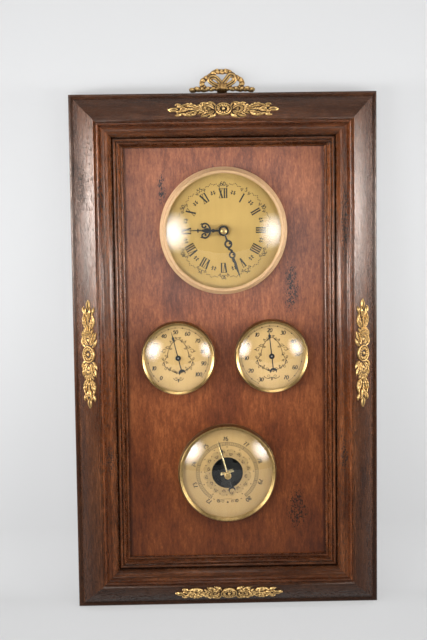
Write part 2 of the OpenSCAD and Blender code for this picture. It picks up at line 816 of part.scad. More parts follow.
// Case with a flange on the board; holes for the flange screws
module case_shell(r_in, case_r, depth, floor_t) {
    r = r_in - slip;
    difference() {
        rotate_extrude($fn = 96) polygon([
            [0, -depth], [case_r, -depth], [case_r, 0], [r, 0], [r, flange_t],
            [case_r - case_t, flange_t], [case_r - case_t, floor_t - depth], [0, floor_t - depth]]);
        screw_places(r_in, case_r) flange_screw(run / 2);
    }
}

dial_front = flange_t + dial_t;

module dial(r_in, hole_r) {
    translate([0, 0, flange_t]) difference() {
        cylinder(h = dial_t, r = r_in - slip, $fn = 96);
        translate([0, 0, -overlap]) cylinder(h = dial_t + 2 * overlap, r = hole_r);
    }
}

// Ring of mean radius r and width w, drawn flat
module ring2(r, w) {
    difference() {
        circle(r + w / 2);
        circle(r - w / 2);
    }
}

// Clock

tray_floor = 1;
bush_gap = 0.1;
dial_hole_r = bush_r + bush_gap;
nut_r = 6.2;
nut_h = 2.2;
bush_top = dial_front + nut_h + 0.3;
mov_front = -tray_depth;
mov_back = mov_front - mov_depth;
mov_split = mov_front - 8;
battery_z = mov_front - mov_wall - battery_r - run;
battery_y = mov_wall + battery_r + 1.4 - mov_below;
bay_wall_y = battery_y + battery_r + 0.5;

module clock_tray() {
    color(brass) at_clock() difference() {
        case_shell(clock_in, tray_r, tray_depth, tray_floor);
        translate([0, 0, -tray_depth - overlap]) cylinder(h = tray_floor + 2 * overlap, r = dial_hole_r);
    }
}

module clock_dial() {
    color(dial_gold) at_clock() dial(clock_in, dial_hole_r);
}

module clock_bezel() {
    color(brass) at_clock() step_bezel(clock_d, clock_bezel_h, clock_face);
}

module clock_glass() {
    color(clear) at_clock() glass(clock_in, clock_d / 2 - clock_face, clock_bezel_h, clock_rise, 0);
}

// Square outline of the movement with its corners cut
module mov_outline(inset) {
    s = mov_side - 2 * inset;
    c = 2.5;
    translate([-s / 2, inset - mov_below]) polygon([
        [c, 0], [s - c, 0], [s, c], [s, s - c], [s - c, s], [c, s], [0, s - c], [0, c]]);
}

motion_front = mov_front - mov_wall - 2;

module movement_base() {
    color(plastic) at_clock() difference() {
        union() {
            translate([0, 0, mov_split]) linear_extrude(mov_front - mov_split) difference() {
                mov_outline(0);
                mov_outline(mov_wall);
            }
            translate([0, 0, mov_front - mov_wall]) linear_extrude(mov_wall) mov_outline(0);
            translate([mov_wall / 2 - mov_side / 2, bay_wall_y, mov_split])
                cube([mov_side - mov_wall, mov_wall, mov_front - mov_split - mov_wall / 2]);
            translate([0, 0, mov_front - mov_wall]) cylinder(h = bush_top - mov_front + mov_wall, r = bush_r);
            translate([motion_c, 0, motion_front]) cylinder(h = 2 + mov_wall / 2, r = motion_r + 1.1);
        }
        translate([0, 0, mov_front - 2 * mov_wall])
            cylinder(h = bush_top - mov_front + 4 * mov_wall, r = tube_r + run);
        translate([motion_c, 0, motion_front - overlap]) cylinder(h = 2 + overlap, r = motion_r + run);
    }
}

module movement_cover() {
    bay_w = battery_l + 1.5;
    color(plastic) at_clock() difference() {
        union() {
            translate([0, 0, mov_back]) linear_extrude(mov_split - mov_back) difference() {
                mov_outline(0);
                mov_outline(mov_wall);
            }
            translate([0, 0, mov_back]) linear_extrude(mov_wall) mov_outline(0);
            translate([0, 0, mov_back + mov_wall / 2]) cylinder(h = mov_wall / 2 + 2, r = minute_r + 1.2);
        }
        translate([0, 0, mov_back + mov_wall]) cylinder(h = 2 + overlap, r = minute_r + run);
        translate([motion_c, 0, mov_back - overlap]) cylinder(h = mov_wall + 2 * overlap, r = motion_r + run);
        translate([-bay_w / 2, battery_y - battery_r + 1, mov_back - overlap])
            cube([bay_w, 2 * battery_r - 2, mov_wall + 2 * overlap]);
    }
}

module battery() {
    color("#3c4a3a") at_clock() translate([-battery_l / 2, battery_y, battery_z]) rotate([0, 90, 0]) {
        cylinder(h = battery_l - 1.4, r = battery_r);
        translate([0, 0, battery_l - 1.5]) cylinder(h = 1.5, r = battery_r / 3);
    }
}

module bush_nut() {
    color(brass) at_clock() translate([0, 0, dial_front]) difference() {
        union() {
            cylinder(h = 0.7, r = nut_r);
            cylinder(h = nut_h, r = nut_r - 0.7, $fn = 6);
        }
        translate([0, 0, -overlap]) cylinder(h = nut_h + 2 * overlap, r = bush_r + run);
    }
}

// Toothed wheel of t teeth at module m, drawn flat
module gear2(t, m) {
    r = m * t / 2;
    pitch = 360 / t;
    polygon([for (i = [0:t - 1]) each [
        for (f = [[-0.33, r - 1.15 * m], [-0.19, r], [-0.09, r + 0.85 * m], [0.09, r + 0.85 * m],
                  [0.19, r], [0.33, r - 1.15 * m]])
            f[1] * [cos((i + f[0]) * pitch), sin((i + f[0]) * pitch)]]]);
}

cannon_teeth = 12;
motion_teeth = 36;
pinion_teeth = 10;
hour_teeth = 40;
module_a = 2 * motion_c / (cannon_teeth + motion_teeth);
module_b = 2 * motion_c / (pinion_teeth + hour_teeth);
hour_wheel_z = motion_front - 1.8;
cannon_z = hour_wheel_z - 3.4;
tube_top = bush_top + 1.8;
minute_top = tube_top + 2.9;

module minute_arbor() {
    color(steel) at_clock() {
        translate([0, 0, mov_back + mov_wall + 0.2])
            cylinder(h = minute_top - mov_back - mov_wall - 0.2, r = minute_r);
        translate([0, 0, cannon_z - 0.3]) linear_extrude(2.2) gear2(cannon_teeth, module_a);
    }
}

module motion_wheel() {
    color("#d8d2c0") at_clock() translate([motion_c, 0, 0]) {
        translate([0, 0, mov_back - knob_gap - knob_h / 2])
            cylinder(h = motion_front + 1.8 - mov_back + knob_gap + knob_h / 2, r = motion_r);
        translate([0, 0, cannon_z]) linear_extrude(1.6) rotate([0, 0, 180 / motion_teeth])
            gear2(motion_teeth, module_a);
        translate([0, 0, cannon_z + 0.8]) linear_extrude(hour_wheel_z + 1.5 - cannon_z - 0.8)
            rotate([0, 0, 180 / pinion_teeth]) gear2(pinion_teeth, module_b);
    }
}

knob_gap = 0.3;
knob_h = 2.4;

module setting_knob() {
    ribs = 18;
    color(plastic) at_clock() translate([motion_c, 0, mov_back - knob_gap - knob_h]) difference() {
        cylinder(h = knob_h, r = knob_r);
        for (i = [0:ribs - 1])
            rotate([0, 0, 360 * i / ribs]) translate([knob_r + 0.35, 0, -overlap])
                cylinder(h = knob_h + 2 * overlap, r = 0.7, $fn = 16);
        translate([0, 0, knob_h / 2]) cylinder(h = knob_h, r = motion_r);
    }
}

module hour_wheel() {
    color("#d8d2c0") at_clock() difference() {
        union() {
            translate([0, 0, hour_wheel_z]) linear_extrude(1) gear2(hour_teeth, module_b);
            translate([0, 0, hour_wheel_z]) cylinder(h = tube_top - hour_wheel_z, r = tube_r);
        }
        translate([0, 0, hour_wheel_z - overlap])
            cylinder(h = tube_top - hour_wheel_z + 2 * overlap, r = minute_r + run);
    }
}

hour_hand_z = tube_top - 1.1;
minute_hand_z = hour_hand_z + 1.9;
boss_r = 5.2;

module hour_hand_flat() {
    curl = 2.85;
    at_curl = hour_l * 0.535;
    difference() {
        union() {
            circle(boss_r);
            polygon([[-1.5, boss_r - 1], [1.5, boss_r - 1], [0.9, at_curl - 3.5], [-0.9, at_curl - 3.5]]);
            for (s = [-1, 1])
                translate([s * curl, at_curl]) ring2(curl, 1.1);
            translate([-0.6, at_curl - 4]) square([1.2, hour_l * 0.76 - at_curl + 4]);
            translate([0, hour_l * 0.76]) rotate(45) square(2.2, center = true);
            polygon([[-1.9, hour_l * 0.76], [0, hour_l * 0.72], [1.9, hour_l * 0.76], [0, hour_l]]);
        }
        circle(tube_r);
    }
}

module hour_hand() {
    color(black) at_clock() translate([0, 0, hour_hand_z]) turned(hour_angle)
        linear_extrude(hand_t) hour_hand_flat();
}

module minute_hand_flat() {
    loop_r = 3.1;
    loop_y = minute_l * 0.282;
    upper_r = 2.4;
    upper_y = minute_l * 0.517;
    difference() {
        union() {
            circle(boss_r - 1.4);
            polygon([[-1.3, 3], [1.3, 3], [0.8, loop_y - loop_r], [-0.8, loop_y - loop_r]]);
            translate([0, loop_y]) ring2(loop_r, 1.1);
            translate([0, loop_y - 1]) circle(1.3);
            translate([-0.55, loop_y - loop_r]) square([1.1, upper_y - upper_r - loop_y + loop_r + 0.3]);
            translate([0, loop_y + loop_r + 1.7]) rotate(45) square(2, center = true);
            translate([0, upper_y]) ring2(upper_r, 1);
            polygon([[-1.3, upper_y + upper_r - 0.4], [1.3, upper_y + upper_r - 0.4],
                [1.1, upper_y + 8], [0.35, minute_l], [-0.35, minute_l], [-0.7, upper_y + 9]]);
        }
        circle(minute_r);
    }
}

module minute_hand() {
    color(black) at_clock() translate([0, 0, minute_hand_z]) turned(minute_angle)
        linear_extrude(hand_t) minute_hand_flat();
}

module hand_nut() {
    color(brass) at_clock() translate([0, 0, minute_hand_z + hand_t]) difference() {
        union() {
            cylinder(h = 1, r1 = 3.35, r2 = 3.1);
            translate([0, 0, 1]) cylinder(h = 0.9, r1 = 3.1, r2 = 1.6);
        }
        translate([0, 0, -overlap]) cylinder(h = minute_top - minute_hand_z - hand_t + overlap, r = minute_r);
    }
}

// Hygrometer and thermometer

floor_top = case_t - small_depth;
boss_h = 2.2;
bridge_t = 1;
bridge_w = 8;
bridge_z = -1.6;
coil_z = -8.5;
pointer_z = dial_front + 1.6;
arbor_foot = floor_top + 0.6;
arbor_top = pointer_z + pointer_t + 0.4;
hub_r = 2.8;

module small_case() {
    color(brass) difference() {
        union() {
            case_shell(small_in, small_case_r, small_depth, case_t);
            translate([0, 0, floor_top - case_t / 2]) cylinder(h = boss_h + case_t / 2, r = 3);
        }
        translate([0, 0, arbor_foot - 0.2]) cylinder(h = boss_h + overlap, r = arbor_r + run);
    }
}

// Strip bent down at both ends to stand on the case's floor
module small_bridge() {
    color(steel) difference() {
        translate([0, bridge_w / 2, 0]) rotate([90, 0, 0]) linear_extrude(bridge_w) polygon([
            [-leg_x - bridge_t, floor_top], [-leg_x - bridge_t, bridge_z + bridge_t],
            [leg_x + bridge_t, bridge_z + bridge_t], [leg_x + bridge_t, floor_top],
            [leg_x, floor_top], [leg_x, bridge_z], [-leg_x, bridge_z], [-leg_x, floor_top]]);
        translate([0, 0, bridge_z - overlap]) cylinder(h = bridge_t + 2 * overlap, r = arbor_r + run);
    }
}

// Flat spiral strip; its outer end runs straight to the bridge's leg
module small_coil() {
    steps = 20;
    n = coil_turns * steps;
    line = [for (i = [0:n]) let (r = coil_r + coil_pitch * i / steps) r * [cos(18 * i), sin(18 * i)]];
    path = concat(line, [[leg_x, 0.6]]);
    left = [for (i = [0:n + 1]) path[i] + coil_t / 2 * path_left(path, i)];
    right = [for (i = [n + 1:-1:0]) path[i] - coil_t / 2 * path_left(path, i)];
    color("#a77b45") translate([0, 0, coil_z]) intersection() {
        linear_extrude(coil_w) polygon(concat(left, right));
        translate([-leg_x, -leg_x, -overlap]) cube([2 * leg_x, 2 * leg_x, coil_w + 2 * overlap]);
    }
}

module small_arbor() {
    color(steel) {
        translate([0, 0, arbor_foot]) cylinder(h = arbor_top - arbor_foot, r = arbor_r);
        translate([0, 0, coil_z]) cylinder(h = coil_w, r = coil_r - coil_t / 2 - 0.35);
    }
}

// Needle with a lozenge, a round hub and a crescent on its tail
module needle(tip, tail, bore) {
    moon = 3;
    widest = tip * 0.71;
    difference() {
        union() {
            cylinder(h = pointer_t, r = hub_r);
            linear_extrude(pointer_t) polygon([
                [-0.45, moon - tail], [0.45, moon - tail], [0.75, 0], [0.5, tip * 0.66], [1.25, widest],
                [0.3, tip * 0.78], [0.16, tip], [-0.16, tip], [-0.3, tip * 0.78], [-1.25, widest],
                [-0.5, tip * 0.66], [-0.75, 0]]);
            translate([0, 0.56 * moon - tail, 0]) difference() {
                cylinder(h = pointer_t, r = moon);
                translate([0, -0.42 * moon, -overlap]) cylinder(h = pointer_t + 2 * overlap, r = 0.84 * moon);
            }
        }
        translate([0, 0, -overlap]) cylinder(h = pointer_t + 2 * overlap, r = bore);
    }
}

module small_pointer(angle) {
    color(black) translate([0, 0, pointer_z]) turned(angle)
        needle(pointer_l, pointer_tail, arbor_r);
}

module small_dial() {
    color(dial_gold) dial(small_in, 2);
}

module small_bezel() {
    color(brass) bezel(small_d, small_bezel_h, small_face);
}

module small_glass() {
    color(clear) glass(small_in, small_d / 2 - small_face, small_bezel_h, small_rise, 0);
}

// Barometer

baro_floor = case_t - baro_depth;
capsule_post = 2.1;
spring_top = baro_floor + capsule_h + capsule_post + spring_t;
bend_r = (spring_top - baro_floor) / 2;
bend_x = -24;
strap_t = 1;
strap_z = spring_top + 1.9;
plate_t = 1;
plate_z = -3.2;
pillar_y = 22;
pillar_r = 1.8;
chain_z = -5.6;
rocker_z = chain_z - rocker_arm;
rocker_r = 0.8;
ear_y = 8;
ear_t = 1.2;
baro_pointer_z = dial_front + 3;
set_z = baro_pointer_z + 2.4;
set_stem_r = 1.2;
glass_top = lip_under(baro_bezel_h) + baro_rise;
adjust_x = -35;
adjust_y = -2;
adjust_r = 1.5;
adjust_head_r = 2.2;
adjust_boss_h = 3.4;

module baro_case() {
    color(black) at_baro() difference() {
        union() {
            case_shell(baro_in, baro_case_r, baro_depth, case_t);
            translate([adjust_x, adjust_y, baro_floor - case_t / 2])
                cylinder(h = adjust_boss_h + case_t / 2, r = adjust_r + 1.8);
        }
        translate([adjust_x, adjust_y, -baro_depth - overlap])
            cylinder(h = adjust_boss_h + case_t + 2 * overlap, r = adjust_r + run);
    }
}

module baro_dial() {
    color(dial_gold) at_baro() dial(baro_in, open_r);
}

module baro_bezel() {
    color(brass) at_baro() bezel(baro_d, baro_bezel_h, baro_face);
}

module baro_glass() {
    color(clear) at_baro() glass(baro_in, baro_d / 2 - baro_face, baro_bezel_h, baro_rise, set_stem_r + run);
}

// Sealed capsule with corrugated faces, a rim where they are soldered, and a post
module baro_capsule() {
    waves = 4;
    mid = capsule_h / 2;
    rise = [for (i = [0:2 * waves]) [capsule_r - 1.4 - (capsule_r - 4.5) * i / (2 * waves),
        capsule_h - 1 + (i % 2) * 0.9]];
    color("#3a3835") at_baro() translate([0, -capsule_drop, baro_floor]) rotate_extrude($fn = 72)
        polygon(concat(
            [[0, 0], [capsule_r - 3, 0], [capsule_r - 0.7, mid - 0.5], [capsule_r, mid - 0.4],
             [capsule_r, mid + 0.4], [capsule_r - 0.7, mid + 0.5]],
            rise,
            [[2.2, capsule_h], [2.2, capsule_h + capsule_post], [0, capsule_h + capsule_post]]));
}

// Strong leaf that is bent over the capsule and holds it open
module baro_mainspring() {
    tip_x = 10;
    foot_x = -17;
    color("#4a4641") at_baro() translate([0, spring_w / 2 - capsule_drop, baro_floor]) rotate([90, 0, 0])
        linear_extrude(spring_w) {
            difference() {
                translate([bend_x, bend_r]) ring2(bend_r - spring_t / 2, spring_t);
                translate([bend_x, -overlap]) square([2 * bend_r, 2 * bend_r + 2 * overlap]);
            }
            translate([bend_x - 0.01, 0]) square([foot_x - bend_x, spring_t]);
            translate([bend_x - 0.01, 2 * bend_r - spring_t]) square([tip_x - bend_x, spring_t]);
        }
}

lever_t = 1;
lever_end = rocker_x - 7.6;

// Arm on the mainspring's tip, with its end bent down towards the rocker's crank
module baro_lever() {
    color("#57524b") at_baro() translate([0, 2 - capsule_drop, spring_top]) rotate([90, 0, 0])
        linear_extrude(4) {
            translate([1, 0]) square([lever_end - 1, lever_t]);
            translate([lever_end - 1.1, -2.6]) square([1.1, 2.7]);
        }
}

module baro_rocker() {
    shaft_l = 2 * (ear_y + ear_t) + 0.8;
    crank_l = 5;
    color(brass) at_baro() translate([rocker_x, 0, rocker_z]) {
        translate([0, shaft_l / 2, 0]) rotate([90, 0, 0]) cylinder(h = shaft_l, r = rocker_r);
        translate([-rocker_r * 0.9, 0, 0]) cube([1.44, 1, rocker_arm]);
        translate([-crank_l, -3, -0.5]) cube([crank_l, 1.4, 1]);
    }
}

// Frame of the train: an upper plate and a lower strap on two pillars, with ears for the rocker
module baro_bridge() {
    arm_w = 12;
    color("#6f6a60") at_baro() difference() {
        union() {
            translate([0, 0, plate_z]) linear_extrude(plate_t) {
                difference() {
                    translate([-arm_w / 2, -pillar_y - 3]) square([arm_w, 2 * pillar_y + 6]);
                    translate([-arm_w / 2 - 3, 0]) circle(5);
                }
                translate([0, -ear_y - ear_t]) square([rocker_x + 3, 2 * (ear_y + ear_t)]);
            }
            translate([-4, -pillar_y - 3, strap_z]) cube([8, 2 * pillar_y + 6, strap_t]);
            for (s = [-1, 1]) {
                translate([0, s * pillar_y, baro_floor]) cylinder(h = plate_z - baro_floor + 0.1, r = pillar_r);
                translate([rocker_x - 2.5, s * (ear_y + ear_t / 2) - ear_t / 2, rocker_z - 2.4])
                    cube([5, ear_t, plate_z - rocker_z + 2.5]);
            }
        }
        translate([rocker_x - 4.5, -ear_y, plate_z - overlap])
            cube([9, 2 * ear_y, plate_t + 2 * overlap]);
        translate([rocker_x, 2 * ear_y, rocker_z]) rotate([90, 0, 0])
            cylinder(h = 4 * ear_y, r = rocker_r + run);
        translate([0, 0, strap_z - overlap])
            cylinder(h = plate_z - strap_z + plate_t + 2 * overlap, r = arbor_r + run);
    }
}

module baro_arbor() {
    color(steel) at_baro() {
        translate([0, 0, strap_z + 0.1])
            cylinder(h = baro_pointer_z + pointer_t + 0.4 - strap_z - 0.1, r = arbor_r);
        translate([0, 0, chain_z - 0.8]) cylinder(h = 1.6, r = drum_r);
        translate([0, 0, chain_z - 1.1]) cylinder(h = 0.3, r = drum_r + 0.6);
        translate([0, 0, chain_z + 0.8]) cylinder(h = 0.3, r = drum_r + 0.6);
    }
}

module baro_pointer() {
    color(black) at_baro() translate([0, 0, baro_pointer_z]) turned(baro_angle)
        needle(baro_pointer_l, baro_tail, arbor_r);
}

// Slender hand with a lozenge foot and two lobes
module baro_set_hand() {
    color(brass) at_baro() translate([0, 0, set_z]) turned(set_angle) linear_extrude(pointer_t)
        difference() {
            union() {
                circle(2.6);
                polygon([[-0.8, 0], [0.8, 0], [0.5, set_l * 0.3], [0.2, set_l], [-0.2, set_l],
                    [-0.5, set_l * 0.3]]);
                polygon([[0, 2], [1.3, 5], [0, 8.5], [-1.3, 5]]);
                for (s = [-1, 1])
                    rotate(s * 52) {
                        translate([-0.6, 0]) square([1.2, 4.5]);
                        translate([0, 5]) circle(1.35);
                    }
            }
            circle(set_stem_r);
        }
}

module baro_set_knob() {
    color(brass) at_baro() difference() {
        union() {
            translate([0, 0, set_z - 0.4]) cylinder(h = glass_top - set_z + 0.4 + 0.35, r = set_stem_r);
            translate([0, 0, glass_top + 0.3]) rotate_extrude() polygon(concat(
                [[0, 0], [set_knob_r - 0.5, 0], [set_knob_r, 0.6]],
                [for (i = [0:4]) let (a = 90 * i / 4)
                    [set_knob_r - 0.9 + 0.9 * cos(a), set_knob_h - 0.9 + 0.9 * sin(a)]],
                [[0, set_knob_h]]));
        }
        for (i = [0:11])
            rotate([0, 0, 30 * i]) translate([set_knob_r + 0.25, 0, glass_top])
                cylinder(h = set_knob_h + overlap, r = 0.55, $fn = 16);
    }
}

module baro_adjust_screw() {
    head_h = 1;
    color(steel) at_baro() translate([adjust_x, adjust_y, 0]) difference() {
        union() {
            translate([0, 0, -baro_depth - head_h - 0.1]) cylinder(h = head_h, r = adjust_head_r);
            translate([0, 0, -baro_depth - 0.2])
                cylinder(h = adjust_boss_h + case_t + 0.8, r = adjust_r);
        }
        translate([-adjust_head_r - overlap, -0.3, -baro_depth - head_h - 1.1])
            cube([2 * (adjust_head_r + overlap), 0.6, 1.5]);
    }
}

top_rail();
bottom_rail();
left_stile();
right_stile();
dial_board();
board_nails();
hanger_plate();
back_screws();
crest_bow();
top_mount();
bottom_mount();
left_mount();
right_mount();
case_screws();
clock_tray();
clock_dial();
clock_bezel();
clock_glass();
movement_base();
movement_cover();
battery();
bush_nut();
minute_arbor();
motion_wheel();
setting_knob();
hour_wheel();
hour_hand();
minute_hand();
hand_nut();
at_hygro() small_case();  // hygro_case
at_hygro() small_dial();  // hygro_dial
at_hygro() small_bezel();  // hygro_bezel
at_hygro() small_glass();  // hygro_glass
at_hygro() small_bridge();  // hygro_bridge
at_hygro() small_coil();  // hygro_coil
at_hygro() small_arbor();  // hygro_arbor
at_hygro() small_pointer(hygro_angle);  // hygro_pointer
at_thermo() small_case();  // thermo_case
at_thermo() small_dial();  // thermo_dial
at_thermo() small_bezel();  // thermo_bezel
at_thermo() small_glass();  // thermo_glass
at_thermo() small_bridge();  // thermo_bridge
at_thermo() small_coil();  // thermo_coil
at_thermo() small_arbor();  // thermo_arbor
at_thermo() small_pointer(thermo_angle);  // thermo_pointer
baro_case();
baro_dial();
baro_bezel();
baro_glass();
baro_capsule();
baro_mainspring();
baro_lever();
baro_rocker();
baro_bridge();
baro_arbor();
baro_pointer();
baro_set_hand();
baro_set_knob();
baro_adjust_screw();
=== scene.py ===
"""Looks of a wall weather station in a moulded hardwood frame, in metres, in the CAD model's frame."""

import json
from math import asin, atan2, cos, pi, radians, sin

import bmesh
import bpy
import numpy as np
from mathutils import Matrix, Vector


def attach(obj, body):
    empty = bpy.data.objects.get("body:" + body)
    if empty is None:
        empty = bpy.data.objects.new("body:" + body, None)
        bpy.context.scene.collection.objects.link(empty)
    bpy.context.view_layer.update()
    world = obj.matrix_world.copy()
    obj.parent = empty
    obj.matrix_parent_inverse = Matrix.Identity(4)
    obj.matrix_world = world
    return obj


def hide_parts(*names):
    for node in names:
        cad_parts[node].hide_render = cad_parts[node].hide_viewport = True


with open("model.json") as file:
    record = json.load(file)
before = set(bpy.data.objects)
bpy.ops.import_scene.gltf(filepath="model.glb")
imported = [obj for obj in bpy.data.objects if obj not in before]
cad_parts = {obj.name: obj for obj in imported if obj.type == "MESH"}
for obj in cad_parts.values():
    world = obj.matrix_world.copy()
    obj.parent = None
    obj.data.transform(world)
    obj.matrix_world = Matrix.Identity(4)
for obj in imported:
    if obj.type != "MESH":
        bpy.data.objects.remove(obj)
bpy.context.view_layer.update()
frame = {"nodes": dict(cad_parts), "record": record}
nodes = frame["nodes"]
scene = bpy.context.scene

MM = 0.001
FRAME_W = 306.0
FRAME_H = 520.0
HANG_DROP = 34.0
FACE_W = 53.5
BOARD_FRONT = 28.0
REBATE_U = 46.5
CREST_U = 25.0
CREST_D = 45.0
BAND_START = (4.5, 22.7)
BAND_STOP = (CREST_U, CREST_D - 0.7)
BAND_SAG = 1.8
CAST_IN = 4.2
CAST_W = 20.8
PRINT_Z = 1.45
BOTH = (-1, 1)


# Places and meshes

def wall_place(x=0.0, y=0.0, z=0.0, turn=0.0):
    """Millimetres on the wall (x right, y up from the frame's middle, z out) to the CAD frame's metres."""
    lift = Matrix.Translation((0, 0, HANG_DROP - FRAME_H / 2))
    upright = Matrix.Rotation(radians(90), 4, "X")
    spin = Matrix.Rotation(radians(turn), 4, "Z")
    return Matrix.Scale(MM, 4) @ lift @ upright @ spin @ Matrix.Translation((x, y, z))


def dial_place(x, drop):
    """A dial's own millimetres: x right, y up from its centre, z out from the board's front."""
    return wall_place(x, FRAME_H / 2 - drop, BOARD_FRONT)


AT = {"clock": dial_place(-1, 136), "hygro": dial_place(-48, 263.5), "thermo": dial_place(46, 263),
    "baro": dial_place(0, 381.5)}


def polar(r, angle):
    """The point at radius r and an angle clockwise from the top."""
    a = radians(angle)
    return np.array([r * sin(a), r * cos(a)])


def path_sides(path):
    """Unit normals to the left of a flat path."""
    d = np.gradient(np.array([p[:2] for p in path]), axis=0)
    d /= np.maximum(np.linalg.norm(d, axis=1), 1e-9)[:, None]
    return np.stack([-d[:, 1], d[:, 0]], axis=1)


def ring_faces(count, n):
    """Faces between neighbouring rings of n points each."""
    return [(i * n + j, i * n + (j + 1) % n, (i + 1) * n + (j + 1) % n, (i + 1) * n + j)
        for i in range(count - 1) for j in range(n)]


class Shape:
    """Vertices in millimetres and faces, gathered for one mesh."""

    def __init__(self, verts=(), faces=()):
        self.verts = list(verts)
        self.faces = list(faces)
        self.values = []

    def add(self, verts, faces):
        start = len(self.verts)
        self.verts.extend(tuple(v) for v in verts)
        self.faces.extend(tuple(i + start for i in face) for face in faces)

    def stroke(self, path, half, z=PRINT_Z):
        """A flat ribbon along a path; half is its half-width, one number or one for each point."""
        half = np.broadcast_to(np.asarray(half, float), (len(path),))
        verts = []
        for p, s, w in zip(path, path_sides(path), half):
            verts.append((p[0] + s[0] * w, p[1] + s[1] * w, z))
            verts.append((p[0] - s[0] * w, p[1] - s[1] * w, z))
        self.add(verts, [(2 * i, 2 * i + 1, 2 * i + 3, 2 * i + 2) for i in range(len(path) - 1)])

    def disc(self, centre, r, z=PRINT_Z, n=14):
        turns = [2 * pi * i / n for i in range(n)]
        edge = [(centre[0] + r * cos(a), centre[1] + r * sin(a), z) for a in turns]
        self.add(edge, [tuple(range(n))])

    def tube(self, path, half_w, half_t, k=10):
        """An oval bar along a path of (x, y, z) points, half_w wide in the plane and half_t deep."""
        n = len(path)
        verts = []
        for p, s, w in zip(path, path_sides(path), np.broadcast_to(np.asarray(half_w, float), (n,))):
            for j in range(k):
                a = 2 * pi * j / k
                out = w * cos(a)
                verts.append((p[0] + s[0] * out, p[1] + s[1] * out, p[2] + half_t * sin(a)))
        first = tuple(range(k))
        last = tuple((n - 1) * k + j for j in reversed(first))
        self.add(verts, [*ring_faces(n, k), first, last])

    def mesh(self, name, matrix, closed=True):
        mesh = bpy.data.meshes.new(name)
        mesh.from_pydata([matrix @ Vector(v) for v in self.verts], [], self.faces)
        if self.values:
            mesh.attributes.new("section", "FLOAT", "POINT").data.foreach_set("value", self.values)
        if closed:
            work = bmesh.new()
            work.from_mesh(mesh)
            bmesh.ops.recalc_face_normals(work, faces=work.faces)
            work.to_mesh(mesh)
            work.free()
        return mesh


def settle(thing, **settings):
    """Gives a thing's properties their values by name and hands the thing back."""
    for key, value in settings.items():
        setattr(thing, key, value)
    return thing


def add_object(name, data):
    obj = bpy.data.objects.new(name, data)
    scene.collection.objects.link(obj)
    return obj


def add_piece(name, mesh, slot, stands_for=(), body="frame", smooth=35, material=None):
    """A piece of the record's slot on a body, instead of the nodes it stands for."""
    obj = add_object(name, mesh)
    mesh.materials.clear()
    mesh.materials.append(material or FINISH[slot])
    if smooth:
        mesh.shade_smooth()
        mesh.set_sharp_from_angle(angle=radians(smooth))
    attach(obj, body)
    if stands_for:
        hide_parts(*stands_for)


def final_mesh(obj, *spent):
    """The object's mesh after its modifiers; the object and the spent ones are removed."""
    bpy.context.view_layer.update()
    mesh = bpy.data.meshes.new_from_object(obj.evaluated_get(bpy.context.evaluated_depsgraph_get()))
    for used in (obj, *spent):
        bpy.data.objects.remove(used)
    return mesh


def arc(cx, cy, r, a0, a1, n, ry=None):
    """Points on an arc of a circle, or of an ellipse with the upright radius ry."""
    angles = np.radians(np.linspace(a0, a1, n + 1))
    return [(cx + r * cos(a), cy + (ry or r) * sin(a)) for a in angles]


def bulge(p, q, sag, n):
    """Points on an arc that bulges by sag to the left of the way from p to q."""
    centre, r, along, left, sweep = bulge_circle(p, q, sag)
    angles = np.linspace(-sweep, sweep, n + 1)
    return [tuple(centre + r * (along * sin(a) + left * cos(a))) for a in angles]


def bulge_circle(p, q, sag):
    """The bulge's centre, radius, direction, side and half-angle."""
    p = np.array(p)
    q = np.array(q)
    half = np.linalg.norm(q - p) / 2
    r = (half * half + sag * sag) / (2 * sag)
    along = (q - p) / (2 * half)
    left = np.array([-along[1], along[0]])
    return (p + q) / 2 - left * (r - sag), r, along, left, asin(half / r)


def revolve(profile, steps=144):
    """A closed section of (radius, height) points turned round the axis."""
    shape = Shape()
    index = []
    for i in range(steps):
        a = 2 * pi * i / steps
        row = []
        for j, (r, z) in enumerate(profile):
            if r < 1e-9 and i:
                row.append(index[0][j])
                continue
            row.append(len(shape.verts))
            shape.verts.append((r * cos(a), r * sin(a), z))
        index.append(row)
    n = len(profile)
    for i in range(steps):
        here = index[i]
        there = index[(i + 1) % steps]
        for j in range(n):
            k = (j + 1) % n
            face = tuple(dict.fromkeys((here[j], there[j], there[k], here[k])))
            if len(face) > 2:
                shape.faces.append(face)
    return shape


def smooth_path(points, steps=8):
    """A Catmull-Rom curve through the points."""
    pts = [np.array(p, float) for p in points]
    pts = [2 * pts[0] - pts[1], *pts, 2 * pts[-1] - pts[-2]]
    out = []
    for p0, p1, p2, p3 in zip(pts, pts[1:], pts[2:], pts[3:]):
        for k in range(steps):
            t = k / steps
            out.append(0.5 * (2 * p1 + (p2 - p0) * t + (2 * p0 - 5 * p1 + 4 * p2 - p3) * t * t
                + (3 * p1 - p0 - 3 * p2 + p3) * t ** 3))
    return [*out, pts[-2]]


# Materials

